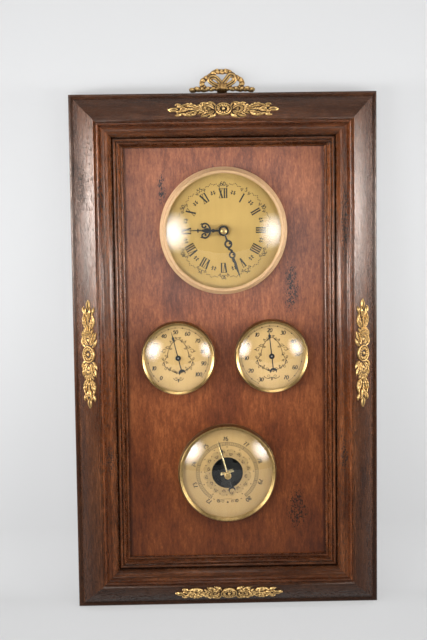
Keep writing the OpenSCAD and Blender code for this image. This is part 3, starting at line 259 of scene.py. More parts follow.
class Nodes:
    """The node tree of a material, lamp or world, with short calls for what the trees share."""

    def __init__(self, owner):
        owner.use_nodes = True
        self.owner = owner
        self.tree = owner.node_tree
        self.shader = self.tree.nodes.get("Principled BSDF")

    def fill(self, target, inputs):
        """Gives a node's inputs, by name or number, their values or links."""
        for key, value in inputs.items():
            socket = target.inputs[key]
            if isinstance(value, bpy.types.NodeSocket):
                self.tree.links.new(value, socket)
            elif socket.type == "RGBA":
                socket.default_value = (*value, 1.0)
            else:
                socket.default_value = value

    def surface(self, inputs):
        self.fill(self.shader, inputs)

    def add(self, kind, inputs, **settings):
        made = settle(self.tree.nodes.new("ShaderNode" + kind), **settings)
        self.fill(made, inputs)
        return made

    def math(self, operation, a, b):
        return self.add("Math", {0: a, 1: b}, operation=operation).outputs[0]

    def times(self, a, b):
        return self.math("MULTIPLY", a, b)

    def weigh(self, *parts):
        """The sum of values times their shares."""
        total = None
        for value, share in reversed(parts):
            part = value if share == 1 else self.times(value, share)
            total = part if total is None else self.math("ADD", part, total)
        return total

    def spread(self, value, low, high, to_low=0.0, to_high=1.0, **settings):
        """A value taken from the range low to high onto another range, and held there."""
        return self.add("MapRange", {"Value": value, "From Min": low, "From Max": high, "To Min": to_low,
            "To Max": to_high}, **settings).outputs["Result"]

    def coords(self, scale=(1, 1, 1)):
        """Object coordinates in millimetres, scaled along each axis."""
        place = self.add("TexCoord", {}).outputs["Object"]
        return self.add("Mapping", {"Vector": place, "Scale": [1000 * s for s in scale]}).outputs["Vector"]

    def noise(self, scale, detail=4.0, rough=0.55, stretch=(1, 1, 1)):
        return self.add("TexNoise", {"Vector": self.coords(stretch), "Scale": scale, "Detail": detail,
            "Roughness": rough}).outputs["Fac"]

    def attribute(self, name):
        return self.add("Attribute", {}, attribute_name=name).outputs["Fac"]

    def ramp(self, fac, *stops):
        """Colours at places between 0 and 1, as (place, red, green, blue) or (place, grey)."""
        made = self.add("ValToRGB", {"Fac": fac})
        band = made.color_ramp
        while len(band.elements) < len(stops):
            band.elements.new(0.5)
        for element, (place, *colour) in zip(band.elements, stops):
            element.position = place
            element.color = (*(colour if len(colour) == 3 else 3 * colour), 1.0)
        return made.outputs["Color"]

    def blend(self, fac, a, b, kind="MIX"):
        return self.add("Mix", {0: fac, 6: a, 7: b}, data_type="RGBA", blend_type=kind).outputs[2]

    def bump(self, height, strength, distance=0.00005):
        made = self.add("Bump", {"Height": height, "Strength": strength, "Distance": distance})
        self.surface({"Normal": made.outputs["Normal"]})

    def mix_shaders(self, fac, first, second):
        mix = self.add("MixShader", {"Fac": fac, 1: first.outputs[0], 2: second.outputs[0]})
        self.fill(self.tree.nodes["Material Output"], {"Surface": mix.outputs[0]})

    def grain_gloss(self, axis, amount):
        """Spreads highlights across the grain and keeps them narrow along it, as polished open grain does."""
        along = self.add("CombineXYZ", {axis: 1.0}).outputs[0]
        self.surface({"Tangent": along, "Anisotropic": amount, "Anisotropic Rotation": 0.25})

    def patches(self, places):
        """A value of 1 inside the given ellipses, as (x, z, half-width, half-height) in mm, falling to 0."""
        vector = self.coords()
        total = None
        for x, z, half_w, half_h in places:
            local = self.add("VectorMath", {0: vector, 1: (x, 0.0, z)}, operation="SUBTRACT").outputs[0]
            local = self.add("VectorMath", {0: local, 1: (1 / half_w, 0.0, 1 / half_h)}, operation="MULTIPLY")
            length = self.add("VectorMath", {0: local.outputs[0]}, operation="LENGTH").outputs["Value"]
            inside = self.spread(length, 0.5, 1.3, 1.0, 0.0)
            total = inside if total is None else self.math("MAXIMUM", total, inside)
        return total

    def worm_marks(self, colour, places):
        """The colour with black pits and short tracks, thick in the given patches, and where those are."""
        dots = self.noise(0.7, 3.0, 0.75, (1.0, 1.0, 0.6))
        rare = self.noise(0.22, 5.0, 0.8)
        inside = self.patches(places)
        marks = self.spread(self.weigh((dots, 1), (inside, 0.13)), 0.625, 0.655)
        marks = self.math("MAXIMUM", self.times(marks, self.spread(inside, 0.0, 0.4)),
            self.spread(rare, 0.735, 0.76))
        return self.blend(marks, colour, (0.004, 0.0025, 0.002)), marks

    def wood(self, axis, blotch, figure, fibre, *stops):
        """Stained wood's colour, figure and fibres, from noise of given sizes along and across the grain."""
        made = []
        for (along, across), detail, rough in ((blotch, 4.0, 0.6), (figure, 5.0, 0.68), (fibre, 3.0, 0.7)):
            made.append(self.noise(1.0, detail, rough, stretched(axis, 1 / along, 1 / across)))
        broad, wave, fine = made
        return self.ramp(self.weigh((broad, 0.4), (wave, 0.35), (fine, 0.25)), *stops), wave, fine


def new_material(name):
    return Nodes(bpy.data.materials.new(name))


def stretched(axis, along, across):
    """Scales that draw a texture out along one axis."""
    return [along if a == axis else across for a in "XYZ"]


# Clusters of old worm marks as x, z, half-width and half-height in mm
WORMS_PANEL = ((-62, -60, 4, 14), (66, -160, 7, 26), (71, -384, 10, 22), (-58, -250, 5, 10))
WORMS_STILES = ((-142, -56, 7, 24), (-147, -90, 3, 6), (-122, -64, 3, 26), (119, -95, 4, 44),
    (-146, -40, 5, 12), (104, -16, 8, 3), (118, -330, 4, 20), (-118, -330, 4, 16))


def moulding_wood(name, axis, inner):
    """Dark stained hardwood with open pores, worm marks and worn chips; a tint across the section paints
    shade into its grooves and light onto its beads, and inner scales the painted light on the inner steps.
    """
    m = new_material(name)
    colour, wave, fine = m.wood(axis, (90, 14), (16, 2.4), (6, 0.9), (0.38, 0.02, 0.0055, 0.002),
        (0.48, 0.042, 0.013, 0.0045), (0.55, 0.066, 0.022, 0.008), (0.64, 0.1, 0.036, 0.014))
    place = m.spread(m.attribute("section"), 0.0, FACE_W)
    # Painted shade darkens the quirk by the lip, the flat at the crest and the floor before the reeds;
    # painted light brightens the crest's edge, the bead, the cove, the ovolo and the reeds.
    section_shade_and_light = m.ramp(place, (0.0, 0.5), (0.06, 0.3), (0.09, 0.5), (0.44, 0.55, 0.54, 0.54),
        (0.465, 0.75, 0.74, 0.74), (0.485, 0.35), (0.53, 0.95, 0.9, 0.88), (0.58, 0.6, 0.5, 0.42),
        (0.62, 0.75, 0.66, 0.54), (0.7, 0.75, 0.7, 0.65), (0.78, 0.6, 0.58, 0.55), (0.8, 0.35),
        (0.84, 0.85, 0.82, 0.8), (0.87, 0.7, 0.68, 0.68), (0.92, 0.9, 0.86, 0.84), (1.0, 0.8, 0.76, 0.72))
    # The tint is doubled, and the inner steps are scaled by inner as well: painted light, stronger on the
    # uprights than on the level rails.
    inner_light_gain = m.blend(m.spread(place, 0.445, 0.47), (2.0, 2.0, 2.0), 3 * (2 * inner,))
    colour = m.blend(1.0, colour, m.blend(1.0, section_shade_and_light, inner_light_gain, "MULTIPLY"), "MULTIPLY")
    pores = m.spread(m.noise(1.0, 2.0, 0.5, stretched(axis, 0.26, 1.05)), 0.54, 0.64)
    colour = m.blend(m.times(pores, 0.7), colour, (0.008, 0.003, 0.0015))
    colour, marks = m.worm_marks(colour, WORMS_STILES)
    chips = m.noise(1.0, 5.0, 0.7, stretched(axis, 0.16, 0.5))
    colour = m.blend(m.spread(chips, 0.72, 0.76, 0.0, 0.5), colour, (0.42, 0.2, 0.12))
    dull = m.math("ADD", m.spread(wave, 0.35, 0.65, 0.2, 0.3), m.weigh((pores, 0.3), (marks, 0.7)))
    m.surface({"Base Color": colour, "Roughness": dull, "Specular IOR Level": 0.32,
        "Specular Tint": (1.0, 0.86, 0.76)})
    m.grain_gloss(axis, 1.0)
    m.bump(m.math("SUBTRACT", m.weigh((fine, 1), (wave, 1.5)), m.times(marks, 1.5)), 0.35, 0.0003)
    return m.owner


def panel_veneer():
    """Reddish veneer with mottled upright grain and black marks, with painted shadow along its left and right
    edges under the moulding and painted light that is stronger towards the top.
    """
    m = new_material("panel_veneer")
    colour, wave, fine = m.wood("Z", (80, 35), (11, 2.6), (3.2, 0.9), (0.39, 0.075, 0.017, 0.0052),
        (0.465, 0.13, 0.032, 0.009), (0.535, 0.19, 0.051, 0.0138), (0.61, 0.285, 0.086, 0.025))
    spot = m.add("SeparateXYZ", {0: m.coords()})
    # Painted shadow: darker within the last 4 mm of the left and right edges, where the moulding shades the
    # panel.
    edge_shadow = m.spread(m.math("ABSOLUTE", spot.outputs["X"], 0.0), 95.5, 99.5)
    colour = m.blend(m.times(edge_shadow, 0.8), colour, (0.03, 0.009, 0.004))
    # Painted light: lighter and greyer towards the top, darker towards the bottom, as the lamps fall off.
    painted_falloff = m.ramp(m.spread(spot.outputs["Z"], -430, -60), (0.0, 0.62, 0.6, 0.58), (1.0, 1.1, 1.15, 1.2))
    colour, _ = m.worm_marks(m.blend(1.0, colour, painted_falloff, "MULTIPLY"), WORMS_PANEL)
    m.surface({"Base Color": colour, "Roughness": m.spread(wave, 0.35, 0.65, 0.3, 0.42),
        "Specular IOR Level": 0.3})
    m.grain_gloss("Z", 0.95)
    m.bump(m.weigh((fine, 1), (wave, 1)), 0.3, 0.0002)
    return m.owner


def cast_gilt():
    """Antique gold, dark in the recesses: a patina, and painted shade."""
    m = new_material("cast_gilt")
    worn = m.math("SUBTRACT", m.noise(0.5, 5.0, 0.6), 0.5)
    # Low cavity values darken the colour: patina in the hollows, and painted shade.
    shade = m.weigh((m.attribute("cavity"), 1), (worn, 0.6))
    colour = m.ramp(shade, (0.24, 0.03, 0.014, 0.005), (0.44, 0.13, 0.065, 0.022), (0.6, 0.32, 0.18, 0.06),
        (0.84, 0.6, 0.39, 0.155))
    m.surface({"Base Color": colour, "Metallic": m.spread(shade, 0.2, 0.5, 0.35, 0.95),
        "Roughness": m.spread(shade, 0.2, 0.8, 0.6, 0.3)})
    m.bump(m.noise(3.0, 3.0, 0.6), 0.45, 0.0002)
    return m.owner


def metal(name, light, dark, rough, scale=0.4):
    """A metal whose colour and gloss vary from light to dark, with fine marks."""
    m = new_material(name)
    fine = m.noise(scale * 9, 3.0)
    m.surface({"Base Color": m.blend(m.spread(m.noise(scale), 0.35, 0.7, 1.0, 0.0), light, dark),
        "Metallic": 1.0, "Roughness": m.spread(fine, 0.3, 0.7, rough, rough + 0.1)})
    m.bump(fine, 0.05)
    return m.owner


def dial_metal(name, light, dark, metallic, rough):
    """A satin dial: a warm sheet colour with faint upright streaks and small age marks."""
    m = new_material(name)
    streaks = m.noise(1.0, stretch=stretched("Z", 0.02, 0.35))
    spots = m.noise(0.9, 3.0, 0.7)
    tone = m.weigh((streaks, 0.4), (m.noise(0.05), 0.6))
    colour = m.blend(m.spread(tone, 0.35, 0.65), dark, light)
    colour = m.blend(m.spread(spots, 0.72, 0.8, 0.0, 0.35), colour, (0.25, 0.14, 0.05))
    m.surface({"Base Color": colour, "Metallic": metallic,
        "Roughness": m.spread(streaks, 0.3, 0.7, rough, rough + 0.12)})
    m.bump(spots, 0.04)
    return m.owner


def painted(name, light, dark, rough, scale=0.5, metallic=0.0):
    """Paint, lacquer, print or plastic with slight changes in tone and gloss."""
    m = new_material(name)
    fine = m.noise(scale * 8, 3.0)
    m.surface({"Base Color": m.blend(m.spread(m.noise(scale), 0.35, 0.65), dark, light), "Metallic": metallic,
        "Roughness": m.spread(fine, 0.3, 0.7, rough, rough + 0.15)})
    m.bump(fine, 0.08)
    return m.owner


def dome_glass():
    """Thin clear glass: it lets everything through and adds its own reflection."""
    m = new_material("dome_glass")
    m.tree.nodes.remove(m.shader)
    gloss = m.add("BsdfGlossy", {"Color": (1.0, 1.0, 1.0), "Roughness": 0.02})
    clear = m.add("BsdfTransparent", {"Color": (0.985, 0.99, 0.985)})
    fresnel = m.add("Fresnel", {"IOR": 1.5}).outputs["Fac"]
    outside = m.math("SUBTRACT", 1.0, m.add("NewGeometry", {}).outputs["Backfacing"])
    smears = m.spread(m.noise(0.08), 0.3, 0.7, 1.25, 1.5)
    m.mix_shaders(m.times(fresnel, m.times(outside, smears)), clear, gloss)
    return m.owner


FINISH = {
    # The level rails' inner steps get less painted light than the uprights'.
    "frame_wood": moulding_wood("moulding_level_shaded_inner", "X", 0.85),
    "board_veneer": panel_veneer(),
    "cast_gilt": cast_gilt(),
    "clear_glass": dome_glass(),
    "rose_bezel": painted("rose_bezel", (0.45, 0.28, 0.14), (0.4, 0.245, 0.12), 0.56, 0.4, 0.15),
    "brass_bezel": metal("polished_brass", (0.34, 0.228, 0.094), (0.23, 0.147, 0.053), 0.27),
    "turned_brass": metal("turned_brass", (0.8, 0.6, 0.3), (0.55, 0.36, 0.13), 0.25),
    "case_brass": metal("case_brass", (0.55, 0.4, 0.18), (0.45, 0.31, 0.13), 0.38, 0.06),
    "steel": metal("steel", (0.62, 0.61, 0.6), (0.4, 0.39, 0.38), 0.3),
    "dark_steel": metal("dark_steel", (0.05, 0.05, 0.048), (0.035, 0.034, 0.032), 0.35),
    "bimetal": metal("bimetal", (0.75, 0.62, 0.45), (0.55, 0.5, 0.45), 0.3),
    "dial_sheet": dial_metal("small_dial", (0.62, 0.4, 0.165), (0.55, 0.35, 0.13), 0.08, 0.36),
    "hand_black": painted("hand_black", (0.02, 0.019, 0.018), (0.01, 0.01, 0.01), 0.3),
    "movement_black": painted("movement_plastic", (0.03, 0.03, 0.032), (0.02, 0.02, 0.02), 0.4),
    "gear_white": painted("gear_plastic", (0.7, 0.68, 0.62), (0.6, 0.58, 0.52), 0.45),
    "battery_sleeve": painted("battery_sleeve", (0.03, 0.09, 0.2), (0.02, 0.06, 0.15), 0.25),
    "case_black": painted("case_black", (0.035, 0.034, 0.032), (0.02, 0.02, 0.02), 0.5)}
# The uprights: grain along Z, and more painted light on the inner steps.
UPRIGHT_WOOD_LIT_INNER = moulding_wood("moulding_upright_lit_inner", "Z", 1.45)
CLOCK_DIAL = dial_metal("clock_dial", (0.49, 0.315, 0.092), (0.44, 0.275, 0.078), 0.1, 0.4)
BARO_DIAL = dial_metal("baro_dial", (0.55, 0.355, 0.145), (0.5, 0.31, 0.115), 0.08, 0.36)
PRINT = painted("print", (0.007, 0.006, 0.004), (0.012, 0.009, 0.006), 0.5)
OLIVE = painted("ornament_print", (0.09, 0.055, 0.018), (0.05, 0.03, 0.01), 0.45)
TAN = painted("tan_print", (0.43, 0.275, 0.11), (0.38, 0.24, 0.09), 0.45)
LACE = painted("lace_print", (0.15, 0.09, 0.032), (0.11, 0.065, 0.022), 0.45)
PALE_GOLD = metal("set_hand_gold", (0.9, 0.75, 0.45), (0.75, 0.56, 0.27), 0.22)

# Finishes of the CAD nodes that differ from their slot's
NODE_FINISH = {"clock_dial": CLOCK_DIAL, "baro_dial": BARO_DIAL, "left_stile": UPRIGHT_WOOD_LIT_INNER,
    "right_stile": UPRIGHT_WOOD_LIT_INNER, "minute_arbor": FINISH["turned_brass"], "bush_nut": FINISH["turned_brass"]}


def dress_nodes():
    for part in frame["record"]["subparts"]:
        materials = nodes[part["node"]].data.materials
        materials.clear()
        materials.append(NODE_FINISH.get(part["node"], FINISH[part["material_slot"]]))


# Moulding

def moulding_section():
    """The frame's section: x from the outer edge inwards, y from the wall outwards."""
    bead = CREST_U + 4
    ovolo = CREST_U + 11.5
    reed = ovolo + 8.5
    return [(0, 0), *arc(2.2, 19.8, 2.2, 180, 90, 10), (4.5, 22), *bulge(BAND_START, BAND_STOP, BAND_SAG, 28),
        (CREST_U, CREST_D), (CREST_U + 2.3, CREST_D), *arc(bead, CREST_D - 1.6, 1.7, 150, 5, 16),
        *arc(bead + 4.5, CREST_D + 0.4, 3.4, 215, 315, 16), *arc(ovolo, CREST_D - 7.9, 6, 100, 10, 20),
        (ovolo + 5.9, CREST_D - 11.5), (reed - 1.5, CREST_D - 11.5),
        *arc(reed, CREST_D - 7.6, 1.5, 180, 0, 16), (reed + 1.5, CREST_D - 9.2), (reed + 1.9, CREST_D - 9.2),
        *arc(reed + 3, CREST_D - 9, 1.1, 180, 0, 14), (FACE_W - 2.9, 33.4),
        *arc(FACE_W - 1.45, 31.55, 1.45, 150, 0, 12), (FACE_W, BOARD_FRONT), (REBATE_U, BOARD_FRONT),
        (REBATE_U, 0)]


def inset(points, by):
    """A closed outline drawn in by a small distance."""
    p = np.array(points)
    before = p - np.roll(p, 1, axis=0)
    after = np.roll(p, -1, axis=0) - p
    turn = before / np.linalg.norm(before, axis=1)[:, None] + after / np.linalg.norm(after, axis=1)[:, None]
    turn /= np.maximum(np.linalg.norm(turn, axis=1), 1e-6)[:, None]
    return p + by * np.stack([turn[:, 1], -turn[:, 0]], axis=1)


def rail(run, rise, groove_deep=0.14, groove_half=0.22):
    """A mitred rail along the bottom of a frame, with a fine groove at each mitre."""
    shape = Shape()
    section = np.array(moulding_section())
    ends = ((inset(section, groove_deep), 0.0), (section, groove_half))
    rings = [[(-run / 2 + u + back, -rise / 2 + u, d) for u, d in outline] for outline, back in ends]
    rings += [[(-x, y, z) for x, y, z in ring] for ring in reversed(rings)]
    n = len(section)
    for ring in rings:
        shape.verts.extend(ring)
        shape.values.extend(float(u) for u in section[:, 0])
    shape.faces = [*ring_faces(len(rings), n), tuple(range(n)), tuple(3 * n + j for j in range(n))]
    return shape


def box_shape(x0, x1, y0, y1, z0, z1):
    return Shape([(x, y, z) for x in (x0, x1) for y in (y0, y1) for z in (z0, z1)],
        [(0, 1, 3, 2), (4, 6, 7, 5), (0, 4, 5, 1), (2, 3, 7, 6), (0, 2, 6, 4), (1, 5, 7, 3)])


def cut_away(mesh, boxes, matrix):
    """The mesh with the boxes cut out of it."""
    whole = add_object("uncut", mesh)
    cutters = []
    for box in boxes:
        cutters.append(add_object("cutter", box_shape(*box).mesh("cutter", matrix)))
        cut = whole.modifiers.new("cut", "BOOLEAN")
        settle(cut, operation="DIFFERENCE", solver="EXACT", object=cutters[-1])
    return final_mesh(whole, *cutters)


def build_frame():
    level = rail(FRAME_W, FRAME_H)
    # Hollows in the back of the top rail for the hanger plate, the bow's foot and the head of a nail
    pockets = [(-22.15, 22.15, 216.85, 239.15, -1, 1.5), (-12.15, 12.15, 246.85, 262, -1, 1.6),
        (-8.5, 8.5, 219.5, 238.5, -1, 9)]
    top = cut_away(level.mesh("top_rail_wood", wall_place(turn=180)), pockets, wall_place())
    add_piece("top_rail_wood", top, "frame_wood", ["top_rail"])
    add_piece("bottom_rail_wood", level.mesh("bottom_rail_wood", wall_place()), "frame_wood", ["bottom_rail"])
    for name, turn in (("left_stile", -90), ("right_stile", 90)):
        mesh = rail(FRAME_H, FRAME_W).mesh(name + "_wood", wall_place(turn=turn))
        add_piece(name + "_wood", mesh, "frame_wood", [name], material=UPRIGHT_WOOD_LIT_INNER)


# Bezels and glasses

def clock_bezel_section(r=63.5, h=10.0, face=6.2, wall=3.4, lip=0.9):
    return [(r, 0), (r, 2.4), *arc(r - 1.6, 2.6, 1.2, 0, 90, 10, 2.4), (r - 1.9, 5.6),
        *arc(r - 3.9, 6, 1.8, 0, 90, 10, h - 6), (r - 4.6, h - 0.5), (r - face, h - 1.6),
        (r - face, h - 1.4 - lip), (r - wall, h - 1.4 - lip), (r - wall, 0)]


def plain_bezel_section(r, h, face, wall=1.6, lip=0.9):
    top_r = r - 0.42 * face
    return [(r, 0), (r, 1.3), (r - 0.35, 1.7), *arc(top_r, 1.7, r - 0.35 - top_r, 4, 90, 18, h - 1.7),
        (r - face + 0.5, h - 1.1), (r - face, h - 1.4), (r - face, h - 1.4 - lip), (r - wall, h - 1.4 - lip),
        (r - wall, 0)]


def dome_section(r_rim, r_dome, rim_z, rise, bore=0.0, thick=1.6, n=30):
    """A dome over a flat rim, as a closed section that starts and ends on the axis or at the bore."""
    outer = [r_dome * sin(pi / 2 * i / n) for i in range(n + 1)]
    outer = [(r, rim_z + rise * (1 - (r / r_dome) ** 2.6)) for r in outer]
    inner = [((r_dome - thick) * r / r_dome, z - thick) for r, z in outer]
    section = outer + [(r_rim, rim_z), (r_rim, rim_z - thick)] + inner[::-1]
    return [(max(r, bore), z) for r, z in section]


def build_bezels():
    small = (plain_bezel_section(37.25, 8, 3.6), "brass_bezel", (35.5, 33.05, 5.7, 5.5))
    for name, section, slot, dome in (("clock", clock_bezel_section(), "rose_bezel", (60.0, 56.7, 7.7, 8.0)),
            ("hygro", *small), ("thermo", *small),
            ("baro", plain_bezel_section(50, 9, 4.4), "brass_bezel", (48.2, 45.0, 6.7, 7.0, 1.25))):
        ring = revolve(section).mesh(name + "_ring", AT[name])
        add_piece(name + "_ring", ring, slot, [name + "_bezel"], smooth=30)
        glass = revolve(dome_section(*dome), 96).mesh(name + "_dome", AT[name])
        add_piece(name + "_dome", glass, "clear_glass", [name + "_glass"], smooth=25)


# Cast mounts

def quad_path(a, b, c, n):
    t = np.linspace(0, 1, n + 1)[:, None]
    a, b, c = (np.array(p, float) for p in (a, b, c))
    return a * (1 - t) ** 2 + b * 2 * t * (1 - t) + c * t * t


def near_path(x, y, path):
    """Distance of each grid point from a path, and where along it that is (0 to 1)."""
    best = np.full(x.shape, 1e9)
    where = np.zeros(x.shape)
    n = len(path) - 1
    for i in range(n):
        a = path[i]
        d = path[i + 1] - a
        t = np.clip(((x - a[0]) * d[0] + (y - a[1]) * d[1]) / (d @ d), 0, 1)
        dist = np.hypot(x - a[0] - t * d[0], y - a[1] - t * d[1])
        where = np.where(dist < best, (i + t) / n, where)
        best = np.minimum(best, dist)
    return best, where


def half_round(square):
    """The height of a rounded form where square, its distance squared as a share, is under 1."""
    return np.sqrt(np.clip(1 - square, 0, 1))


def only(inside, height, outside=-9.0):
    """The height inside a form and a low value outside it."""
    return np.where(inside, height, outside)


def leaf_field(x, y, a, b, c, w, h, ribs=0, vein=0.35):
    """Height of a leaf along a bent midrib that swells and runs to a point, with slanting ribs if wanted."""
    dist, t = near_path(x, y, quad_path(a, b, c, 14))
    width = w * np.maximum(np.sin(np.radians(166 * t + 9)), 0.05) ** 0.8
    crown = h * (0.55 + 0.45 * np.sin(np.radians(150 * t)))
    across = np.clip(dist / width, 0, 1)
    height = crown * (1 - across ** 2) ** 0.6 - vein * crown * np.exp(-(dist / (0.2 * w)) ** 2)
    if ribs:
        height *= 0.82 + 0.18 * np.cos(2 * np.pi * (ribs * t - 0.8 * across))
    return only(dist < width, height)


def ball_field(x, y, cx, cy, r, h):
    square = ((x - cx) ** 2 + (y - cy) ** 2) / (r * r)
    return only(square < 1, h * half_round(square))


def scroll_field(x, y, cx, cy, r, h, turns, start):
    """A volute: a strip that winds in to a small ball."""
    a = np.linspace(0, turns * 2 * np.pi, 40)
    radius = r * (1 - 0.72 * a / a[-1])
    path = np.stack([cx + radius * np.cos(start - a), cy + radius * np.sin(start - a)], axis=1)
    dist, t = near_path(x, y, path)
    width = 0.26 * r * (1 - 0.35 * t)
    strip = only(dist < width, h * (0.7 + 0.3 * t) * half_round((dist / width) ** 2))
    return np.maximum(strip, ball_field(x, y, cx, cy, 0.28 * r, 1.05 * h))


def egg_field(x, y, cx, rx, ry, h, ribs):
    """A ribbed egg that lies along the mount."""
    across = np.clip(y / ry, -1, 1)
    square = ((x - cx) / rx) ** 2 + across ** 2
    return only(square < 1, h * (0.8 + 0.2 * np.cos(2 * ribs * np.arcsin(across))) * half_round(square))


def rosette_field(x, y, rx, ry, h, beads=14):
    """The middle medallion: a rim, a ring of beads and a hub."""
    ring = np.hypot(x / rx, y / ry)
    turn = np.arctan2(y / ry, x / rx) * beads / (2 * np.pi)
    rim = 0.72 * h * half_round(((ring - 0.9) / 0.1) ** 2)
    off = (turn - np.round(turn)) * 2 * np.pi / beads * 0.6 * rx
    bead = ((ring - 0.6) * rx / 1.9) ** 2 + (off / 1.35) ** 2
    field = only(ring < 1, np.maximum(0.22 * h, rim))
    field = np.maximum(field, only(bead < 1, 0.8 * h * half_round(bead)))
    return np.maximum(field, ball_field(x, y, 0, 0, 1.9, 0.95 * h))


# Leaves of a mount's quarter: start, bend and tip of the midrib, half-width, share of the height, ribs
QUARTER_LEAVES = (
    ((7.4, 4.2), (8.6, 9.6), (14.8, 10.6), 1.3, 0.7, 0), ((9, 2.4), (12.4, 8.4), (22.4, 9.6), 1.35, 0.78, 4),
    ((9.4, 1.2), (13.5, 4.6), (19.5, 6.0), 0.75, 0.6, 0), ((24, 1.2), (31, 11.4), (42, 4.6), 1.5, 0.8, 5),
    ((26, 1.4), (31, 4.4), (37.5, 5.2), 1.15, 0.7, 3), ((36, 0.8), (40.5, 3.4), (46.5, 2.6), 1.2, 0.72, 0),
    ((40.5, 4.4), (43, 8.6), (47.6, 7.2), 1.1, 0.6, 0))
PALMETTE_TIPS = ((28.5, 0), (27.8, 3.2), (25.4, 6.2), (21.6, 8.0))


def mount_height(x, y, h=3.4):
    """Relief of one mount over the band, in millimetres; below nought outside it."""
    ax = np.abs(x)
    ay = np.abs(y)
    layers = [rosette_field(x, y, 8.6, 8.2, h), egg_field(ax, y, 49.2, 5.0, 2.5, 0.8 * h, 4)]
    for start, bend, tip, width, share, ribs in QUARTER_LEAVES:
        layers.append(leaf_field(ax, ay, start, bend, tip, width, share * h, ribs))
    for k, tip in enumerate(PALMETTE_TIPS):
        bend = (15.5 + 0.45 * (tip[0] - 15), 0.5 * tip[1] + 0.35 * k)
        layers.append(leaf_field(ax, ay, (12.5, 0), bend, tip, 1.55, h * (0.98 - 0.05 * k), 4))
    layers.append(scroll_field(ax, ay, 11.6, 8.0, 2.1, 0.72 * h, 1.3, 3.4))
    layers.append(scroll_field(ax, ay, 43.6, 4.9, 2.1, 0.75 * h, 1.4, 2.6))
    layers.append(leaf_field(ax, y, (28, 0), (34, 0), (42, 0), 1.5, 0.85 * h, 5))
    balls = ((ay, 33.2, 6.6, 1.1, 0.62), (y, 41.4, 0, 1.5, 0.8), (y, 54.0, 0, 0.8, 0.4))
    for across, cx, cy, r, share in balls:
        layers.append(ball_field(ax, across, cx, cy, r, share * h))
    return np.max(layers, axis=0)


def grown(mask, corners=False):
    """The mask grown by one cell on each side, and round its corners if wanted."""
    out = mask.copy()
    out[1:] |= mask[:-1]
    out[:-1] |= mask[1:]
    across = out.copy() if corners else mask
    out[:, 1:] |= across[:, :-1]
    out[:, :-1] |= across[:, 1:]
    return out


def closed_up(mask, steps):
    """The mask with its narrow gaps filled: grown by some cells and then shrunk again."""
    for _ in range(steps):
        mask = grown(mask)
    for _ in range(steps):
        mask = ~grown(~mask)
    return mask


def on_band(x, y, h):
    """A place on the bottom rail's outer band: x along it, y across it and h above it."""
    centre, radius, along, normal, _ = bulge_circle(BAND_START, BAND_STOP, BAND_SAG)
    turn = (y + CAST_IN) / radius
    u, d = (centre[i] + (radius + h) * (normal[i] * np.cos(turn) + along[i] * np.sin(turn)) for i in range(2))
    return np.stack([x, u, d], axis=-1)


def read(collection, key, width, kind=float):
    out = np.empty(len(collection) * width, kind)
    collection.foreach_get(key, out)
    return out.reshape(-1, width)


def mark_cavities(mesh, rounds=10, depth=0.22):
    """Marks how far each vertex stands out of or lies in its surroundings, from 0 in a hollow to 1."""
    co = read(mesh.vertices, "co", 3)
    normal = read(mesh.vertex_normals, "vector", 3)
    edges = read(mesh.edges, "vertices", 2, int)
    n = len(co)
    count = np.bincount(edges.ravel(), minlength=n)[:, None]
    soft = co.copy()
    for _ in range(rounds):
        total = np.zeros_like(soft)
        for k in range(3):
            total[:, k] = (np.bincount(edges[:, 0], soft[edges[:, 1], k], n)
                + np.bincount(edges[:, 1], soft[edges[:, 0], k], n))
        soft = np.where(count > 0, total / np.maximum(count, 1), soft)
    proud = np.einsum("ij,ij->i", co - soft, normal) / MM
    level = 0.5 + 0.5 * np.tanh(proud / depth)
    mesh.attributes.new("cavity", "FLOAT", "POINT").data.foreach_set("value", level)


def mount_shape(half_l=54.5, half_w=11, step=0.32, pad=6, edge=0.05, web_h=0.35, least=0.25):
    """The relief as a sheet on the band: a fine grid without the cells outside the mount."""
    nx = int(2 * half_l / step)
    ny = int(2 * half_w / step)
    along = np.linspace(-half_l, half_l, nx + 1)
    across = np.linspace(-half_w, half_w, ny + 1)
    x, y = np.meshgrid(along, across, indexing="ij")
    h = mount_height(x, y)
    # A low ground fills the narrow gaps between the forms; the cavity tint makes it dark, as patina and
    # painted shade.
    web = closed_up(np.pad(h > edge, pad), 4)[pad:-pad, pad:-pad]
    h = np.where(web, np.maximum(h, web_h), h)
    inside = h > edge
    near = grown(inside, corners=True)
    raised = np.where(inside, np.maximum(h, least), -least)
    verts = on_band(x, y * CAST_W / (2 * half_w), raised).reshape(-1, 3)
    faces = []
    for i in range(nx):
        for j in range(ny):
            if near[i:i + 2, j:j + 2].all():
                a = i * (ny + 1) + j
                b = a + ny + 1
                faces.append((a, b, b + 1, a + 1))
    used = sorted({v for face in faces for v in face})
    place = {v: i for i, v in enumerate(used)}
    return Shape([tuple(verts[v]) for v in used], [tuple(place[v] for v in face) for face in faces])


def build_mounts():
    shape = mount_shape()
    for name, turn, rise, along in (("top_mount", 180, FRAME_H, 0), ("bottom_mount", 0, FRAME_H, 0),
            ("left_mount", -90, FRAME_W, -3), ("right_mount", 90, FRAME_W, 0)):
        matrix = wall_place(turn=turn) @ Matrix.Translation((along, -rise / 2, 0))
        mesh = shape.mesh(name + "_cast", matrix, closed=False)
        mark_cavities(mesh)
        add_piece(name + "_cast", mesh, "cast_gilt", [name], smooth=60)


# Ribbon bow

